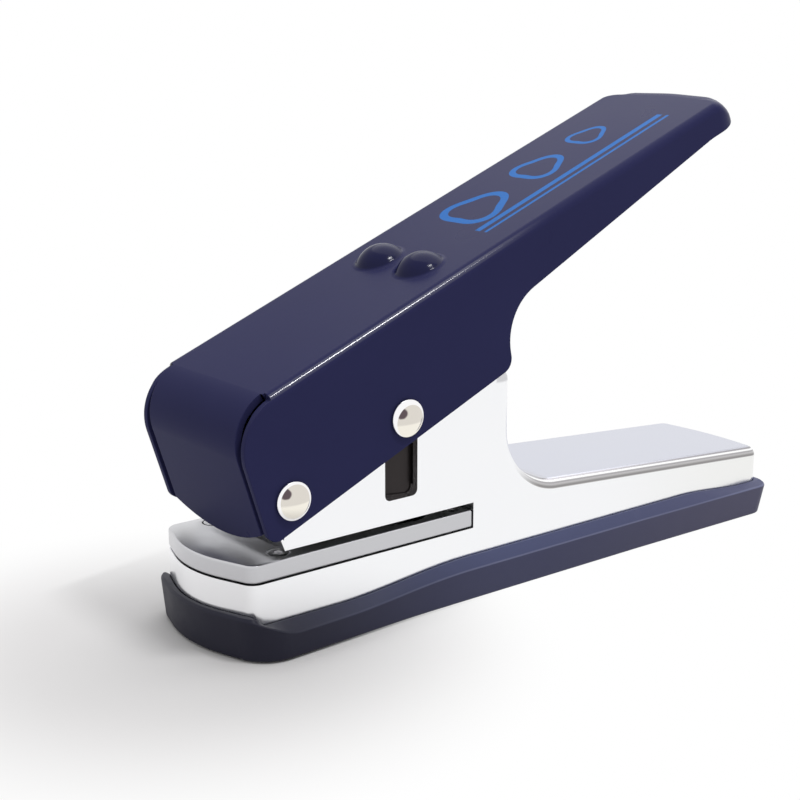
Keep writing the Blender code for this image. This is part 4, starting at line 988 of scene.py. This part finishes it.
def drawn_in(point):
    """A point of the rim moved in until it is well inside the frame's outline."""
    x = min(max(point.x, TRAY_FRONT + RIM_DEPTH), TRAY_BACK - RIM_DEPTH)
    return Vector((x, point.y * (1 - 2 * RIM_DEPTH / TRAY_WIDTHS[0])))


def make_tray(finish, rubber):
    """The tray, by rings from its rounded foot up its walls and in over its rim, and its sole."""
    top = tray_outline(TRAY_FRONT, TRAY_BACK, TRAY_WIDTHS)
    widths = [width - FOOT_WIDTH for width in TRAY_WIDTHS]
    foot = tray_outline(TRAY_FRONT + FOOT_FRONT, TRAY_BACK - FOOT_BACK, widths)
    rings = []
    for angle in map(math.radians, (90, 60, 30, 0)):
        height = TRAY_BOTTOM + FOOT_EDGE * (1 - math.sin(angle))
        rings.append([(point, height) for point in offset(foot, -FOOT_EDGE * (1 - math.cos(angle)))])
    heights = [rim_heights(point) for point in top]
    inner = [beside_frame(point) for point in top]
    for share, drop in ((0.0, RIM_DROP), (RIM_SHARE, 0.0), (1.0, 0.0)):
        rings.append([
            (point.lerp(aside, share), low + (high - low) * share - drop)
            for point, aside, (low, high) in zip(top, inner, heights)])
    rings.append([(drawn_in(point), high) for point, (low, high) in zip(top, heights)])
    tray = thing("tray", stacked(rings))
    sole = offset(foot, -SOLE_INSET)
    cut(
        tray, slab(offset(frame_plan(), TRAY_PLAY), TRAY_INSIDE, THROAT_TOP, "plan"),
        slab(offset(sole, GAP), -OVERRUN, SOLE_RECESS, "plan"))
    soften(tray, 0.08)
    place(tray, "tray", finish, "navy_plastic", "base_tray")
    pad = thing("sole", slab(sole, 0, SOLE_TOP, "plan"))
    soften(pad, 0.25)
    place(pad, "tray", rubber, "rubber_black", "anti_slip_sole")


# Finishes
def maths(operation, swapped=False):
    """A method that adds a Math node."""

    def method(self, *others):
        values = (*others, self) if swapped else (self, *others)
        return self.nodes.node("ShaderNodeMath", {"operation": operation}, values)

    return method


class Wire:
    """What leaves a socket. Sums and products of wires add Math nodes."""

    def __init__(self, nodes, socket):
        self.nodes = nodes
        self.socket = socket

    __add__ = maths("ADD")
    __sub__ = maths("SUBTRACT")
    __rsub__ = maths("SUBTRACT", swapped=True)
    __mul__ = maths("MULTIPLY")
    __gt__ = maths("GREATER_THAN")
    __abs__ = maths("ABSOLUTE")
    low = maths("MINIMUM")
    high = maths("MAXIMUM")
    root = maths("SQRT")
    angle = maths("ARCTAN2")
    cosine = maths("COSINE")

    def reach(self, other):
        """The length of the diagonal over this and another wire."""
        return (self * self + other * other).root()

    def between(self, start, end):
        """0 at start and 1 at end, smooth between them."""
        inputs = {"Value": self, "From Min": start, "From Max": end}
        return self.nodes.node("ShaderNodeMapRange", {"interpolation_type": "SMOOTHSTEP"}, inputs)


def highest(wires):
    return functools.reduce(Wire.high, wires)


class Nodes:
    """The nodes of a material or a world under construction."""

    def __init__(self, owner):
        owner.use_nodes = True
        self.tree = owner.node_tree

    def feed(self, socket, value):
        if isinstance(value, Wire):
            self.tree.links.new(value.socket, socket)
        elif socket.type == "RGBA" and len(value) == 3:
            socket.default_value = (*value, 1)
        else:
            socket.default_value = value

    def node(self, kind, settings, inputs, output=0):
        made = self.tree.nodes.new(kind)
        for name, value in settings.items():
            setattr(made, name, value)
        pairs = inputs.items() if isinstance(inputs, dict) else enumerate(inputs)
        for name, value in pairs:
            self.feed(made.inputs[name], value)
        return Wire(self, made.outputs[output])

    def finish(self, output, share, first, second):
        """Ends the tree in a share of the second shader over the first."""
        shader = self.node("ShaderNodeMixShader", {}, (share, first, second))
        self.feed(self.tree.nodes[output].inputs["Surface"], shader)

    def looks(self, *rays):
        """1 for a ray of these kinds, and 0 for the others."""
        return highest([self.node("ShaderNodeLightPath", {}, (), ray) for ray in rays])


class Paint(Nodes):
    """A node material under construction."""

    def __init__(self, name, colour, roughness, metallic=0.0, **constants):
        self.material = bpy.data.materials.new(name)
        super().__init__(self.material)
        self.shader = self.tree.nodes["Principled BSDF"]
        self.set("Base Color", colour)
        self.set("Roughness", roughness)
        self.set("Metallic", metallic)
        for words, value in constants.items():
            self.set(words.replace("_", " ").title().replace("Ior", "IOR"), value)

    def set(self, name, value):
        self.feed(self.shader.inputs[name], value)

    def spot(self):
        """The point on the piece, in metres."""
        return self.node("ShaderNodeTexCoord", {}, (), "Object")

    def places(self):
        """The point on the piece, in millimetres along each axis."""
        spot = self.spot()
        return [self.node("ShaderNodeSeparateXYZ", {}, (spot,), axis) * 1000.0 for axis in "XYZ"]

    def noise(self, scale, detail=2.0):
        inputs = {"Vector": self.spot(), "Scale": scale, "Detail": detail}
        return self.node("ShaderNodeTexNoise", {}, inputs)

    def ramp(self, share, stops):
        """The colour at a share of the way along (position, colour) stops."""
        wire = self.node("ShaderNodeValToRGB", {}, {"Fac": share})
        elements = wire.socket.node.color_ramp.elements
        while len(elements) < len(stops):
            elements.new(0.5)
        for element, (position, colour) in zip(elements, stops):
            element.position = position
            element.color = (*colour, 1)
        return wire

    def mix(self, share, first, second):
        made = self.tree.nodes.new("ShaderNodeMix")
        made.data_type = "RGBA"
        for index, value in ((0, share), (6, first), (7, second)):
            self.feed(made.inputs[index], value)
        return Wire(self, made.outputs[2])

    def bump(self, height, distance, strength):
        """Puts a fine relief on the finish, and ends it."""
        inputs = {"Height": height, "Distance": distance * MM, "Strength": strength}
        self.set("Normal", self.node("ShaderNodeBump", {}, inputs))
        return self.material


def lever_spot(paint):
    """How far along, across and above the fulcrum a point of the lever is."""
    x, y, z = paint.places()
    rise = z - FULCRUM.z
    along = x * math.cos(LEVER_TILT) + rise * math.sin(LEVER_TILT)
    above = rise * math.cos(LEVER_TILT) - x * math.sin(LEVER_TILT)
    return along, y, above


def plectrum_ring(along, across, place, size):
    """1 on the outline of a plectrum shape of a size round a place, and 0 elsewhere."""
    x, y = along - place[0], across - place[1]
    waves = (y.angle(x) * 3.0).cosine()
    away = abs(x.reach(y) - (waves * RING_WAVE_SHARE + 1.0) * size)
    return away.between(RING_STROKE_SHARE * size, RING_STROKE_SHARE * size - PRINT_SOFT * 2)


def navy_enamel():
    """Satin navy with a print of rings and lines, painted shade darkening the domes, and a gloss on the domes
    and along the top's bends.
    """
    paint = Paint("navy_enamel", (0.024, 0.025, 0.079), 0.27, specular_ior_level=0.025, coat_roughness=0.15)
    along, across, above = lever_spot(paint)
    clouds = paint.noise(60.0)
    domes = above.between(LEVER_TOP + 0.1, LEVER_TOP + 0.4)
    paint.set("Roughness", (clouds * 0.08 + 0.25) - domes * 0.15)
    run = along.between(66.5, 67.0) * along.between(124.5, 124.0)
    marks = [plectrum_ring(along, across, place, size) for place, size in PRINT_RINGS]
    marks += [
        abs(across - line).between(half + PRINT_SOFT, half - PRINT_SOFT) * run for line, half in PRINT_LINES]
    printed = highest(marks) * above.between(LEVER_TOP - 0.1, LEVER_TOP - 0.05)
    enamel = paint.mix(clouds, (0.023, 0.024, 0.075), (0.026, 0.027, 0.084))
    # Painted shade: the domes' enamel darker than the flat top
    enamel = paint.mix(domes, enamel, (0.010, 0.011, 0.052))
    paint.set("Base Color", paint.mix(printed, enamel, (0.009, 0.125, 0.43)))
    bend = abs(across).between(LEVER_HALF - 2.2, LEVER_HALF - 1.9)
    bend = bend * above.between(LEVER_TOP - 1.2, LEVER_TOP - 0.9)
    bend = bend * above.between(LEVER_TOP - 0.2, LEVER_TOP - 0.4)
    paint.set("Coat Weight", (bend * along.between(80.0, 50.0)).high(domes * 0.2))
    return paint.bump(paint.noise(900.0, 3.0), 0.02, 0.3)


def silver_casting():
    """Bright, with painted reflections: grey lines and a painted highlight across the width of the bend round
    the neck and the tail, a grey lilac on the tail's top, a painted shadow on the top of the neck under the
    lever, and the sides a little darker towards the tail.
    """
    paint = Paint("silver_casting", (0.93, 0.935, 0.94), 0.2, 1.0)
    x, y, z = paint.places()
    behind = x - NECK_BACK
    across = behind - NECK_FILLET
    rise = (z - TAIL_HEIGHT - (TAIL - x) * math.tan(TAIL_SLOPE)) * math.cos(TAIL_SLOPE) - NECK_FILLET
    depth = across.low(0.0).reach(rise.low(0.0)) - NECK_FILLET
    side = paint.mix(behind.between(20.0, 80.0), (0.93, 0.935, 0.95), (0.88, 0.88, 0.865))
    # Painted reflection: the tail's top face a grey lilac, lightening up the fillet into the neck
    top = paint.mix(rise.between(2.0, -11.0), (0.90, 0.90, 0.91), (0.60, 0.615, 0.70))
    # Painted reflection lines and a painted highlight across the bend, plain white near the neck's back
    reflected_tones = paint.ramp(depth * (BEND_SHARE / FRAME_BEND), BEND_REFLECTIONS)
    reflected_bend = paint.mix(behind.between(0.5, 9.0), (0.93, 0.935, 0.95), reflected_tones)
    bare = paint.mix(depth.between(FRAME_BEND, FRAME_BEND + 0.1), reflected_bend, side)
    # Painted shadow of the lever on the top of the neck
    shaded = z.between(44.5, 45.2) * behind.between(-4.6, -3.8)
    colour = paint.mix(depth.between(0.0, 0.04), top, bare)
    paint.set("Base Color", paint.mix(shaded * 0.5, colour, NECK_SHADE))
    paint.set("Roughness", paint.noise(90.0, 3.0) * 0.08 + 0.18)
    return paint.bump(paint.noise(500.0), 0.02, 0.2)


def navy_moulding():
    """Matt navy with painted light: a painted shadow darkest at the nose, lighter towards the tail, a lighter
    painted sheen on the rim's slope and a painted highlight line along the rim's outer edge.
    """
    paint = Paint("navy_moulding", (0.035, 0.040, 0.100), 0.5, specular_ior_level=0.3)
    x, y, z = paint.places()
    over = z - (x.between(*SIDE_RUN) * SIDE_RISE + x.between(*NOSE_RUN) * NOSE_RISE + RIM_OUTER)
    # Painted highlight: a light line along the rim's outer edge
    line = abs(over + 0.05).between(0.22, 0.1)
    # Painted light: wall and rim lighter towards the tail
    tail = x.between(60.0, 130.0)
    wall = paint.mix(tail, (0.040, 0.043, 0.098), (0.062, 0.060, 0.112))
    # Painted sheen: the rim's slope lighter than the wall
    rim = paint.mix(tail, (0.058, 0.068, 0.150), (0.066, 0.072, 0.150))
    light = paint.mix(line, paint.mix(over.between(-0.05, 0.1), wall, rim), (0.13, 0.14, 0.24))
    # Painted shadow, darkest at the nose and fading out towards the middle
    paint.set("Base Color", paint.mix(x.between(-8.0, 60.0), (0.006, 0.006, 0.019), light))
    paint.set("Roughness", paint.noise(300.0) * 0.1 + 0.45)
    return paint.bump(paint.noise(1500.0, 3.0), 0.03, 0.4)


def rivet_chrome():
    """Bright metal with painted reflections on each head: a darker lower half, a soft dark blotch and a
    painted highlight round the rim.
    """
    paint = Paint("rivet_chrome", (0.88, 0.84, 0.76), 0.09, 1.0)
    along, across, above = lever_spot(paint)
    from_centre = along - (along > DRIVE.x / 2) * DRIVE.x
    # Painted reflection: each head lighter above and darker below
    reflection_bands = paint.mix((above + from_centre * 0.4).between(-0.8, -0.2), (0.90, 0.86, 0.77), (0.72, 0.68, 0.62))
    # Painted reflection: a soft dark blotch on each head
    dark_reflection = (from_centre + 1.4).reach(above - 2.6) + paint.noise(700.0) * 0.6
    face = paint.mix(dark_reflection.between(1.6, 1.2), reflection_bands, (0.12, 0.09, 0.10))
    # Painted highlight round each head's rim
    rim = from_centre.reach(above).between(3.2, 3.3)
    paint.set("Base Color", paint.mix(rim, face, (0.95, 0.94, 0.95)))
    return paint.bump(paint.noise(1200.0), 0.01, 0.2)


def simple(name, colour, roughness, metallic):
    """One colour with a fine grain."""
    paint = Paint(name, colour, roughness, metallic)
    paint.set("Roughness", paint.noise(300.0) * 0.1 + (roughness - 0.05))
    return paint.bump(paint.noise(1200.0), 0.01, 0.3)


# Stage, light and camera
def make_stage():
    """A floor that is seen as plain white away from the punch."""
    shape = bmesh.new()
    bmesh.ops.create_grid(shape, x_segments=1, y_segments=1, size=FLOOR_SIZE)
    floor = thing("floor", shape)
    floor.data.transform(Matrix.Scale(MM, 4))
    paint = Paint("paper_floor", (0.74, 0.73, 0.73), 0.9, specular_ior_level=0.0)
    x, y, z = paint.places()
    far = (x - FLOOR_PLACE).reach(y).between(*FLOOR_FADE) * paint.looks("Is Camera Ray", "Is Glossy Ray")
    glow = paint.node("ShaderNodeEmission", {}, ())
    paint.finish("Material Output", far, Wire(paint, paint.shader.outputs[0]), glow)
    floor.data.materials.append(paint.material)
    floor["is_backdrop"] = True


def make_world():
    """White to whoever looks at it, and softer as a light."""
    world = bpy.data.worlds.new("studio")
    bpy.context.scene.world = world
    nodes = Nodes(world)
    light = nodes.tree.nodes["Background"]
    nodes.feed(light.inputs["Color"], (1, 1, 1))
    nodes.feed(light.inputs["Strength"], WORLD_LIGHT)
    seen = nodes.node("ShaderNodeBackground", {}, {"Color": (1, 1, 1), "Strength": WORLD_SEEN})
    looks = nodes.looks("Is Camera Ray", "Is Glossy Ray", "Is Transmission Ray")
    nodes.finish("World Output", looks, Wire(nodes, light.outputs[0]), seen)


def make_lamp(name, place, aim, length, width, power):
    data = bpy.data.lights.new(name, "AREA")
    data.shape = "ELLIPSE"
    data.size = length * MM
    data.size_y = width * MM
    data.energy = power
    lamp = linked(name, data)
    lamp.location = Vector(place) * MM
    lamp.rotation_euler = (Vector(place) - Vector(aim)).to_track_quat("Z", "Y").to_euler()


def make_camera():
    data = bpy.data.cameras.new("camera")
    data.lens = CAMERA_LENS
    data.sensor_width = 36
    data.clip_start = 0.01
    camera = linked("camera", data)
    camera.location = Vector(CAMERA_PLACE) * MM
    camera.rotation_euler = (math.pi / 2 - CAMERA_TILT, 0, CAMERA_TURN)
    bpy.context.scene.camera = camera


def main():
    bpy.context.scene.view_settings.view_transform = "Standard"
    make_camera()
    make_world()
    make_stage()
    for lamp in LAMPS:
        make_lamp(*lamp)
    enamel = navy_enamel()
    casting = silver_casting()
    chrome = rivet_chrome()
    steel = simple("bright_steel", (0.58, 0.58, 0.60), 0.3, 1.0)
    tool = simple("tool_steel", (0.03, 0.024, 0.024), 0.4, 0.6)
    nylon = simple("nylon", (0.8, 0.8, 0.76), 0.5, 0.0)
    black = simple("black_rubber", (0.02, 0.02, 0.02), 0.8, 0.0)
    navy = navy_moulding()
    make_frame(casting)
    make_die(steel)
    make_bush(steel)
    make_springs(steel)
    make_carrier(tool)
    make_punch(tool, steel)
    make_lever(enamel)
    for name, centre in (("fulcrum", Vector()), ("drive", DRIVE)):
        make_rivet(name, centre, chrome, nylon)
    make_stop_pad(black)
    make_tray(navy, black)


main()
sizes = [[list(corner) for corner in box] for box in (cad_box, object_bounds())]
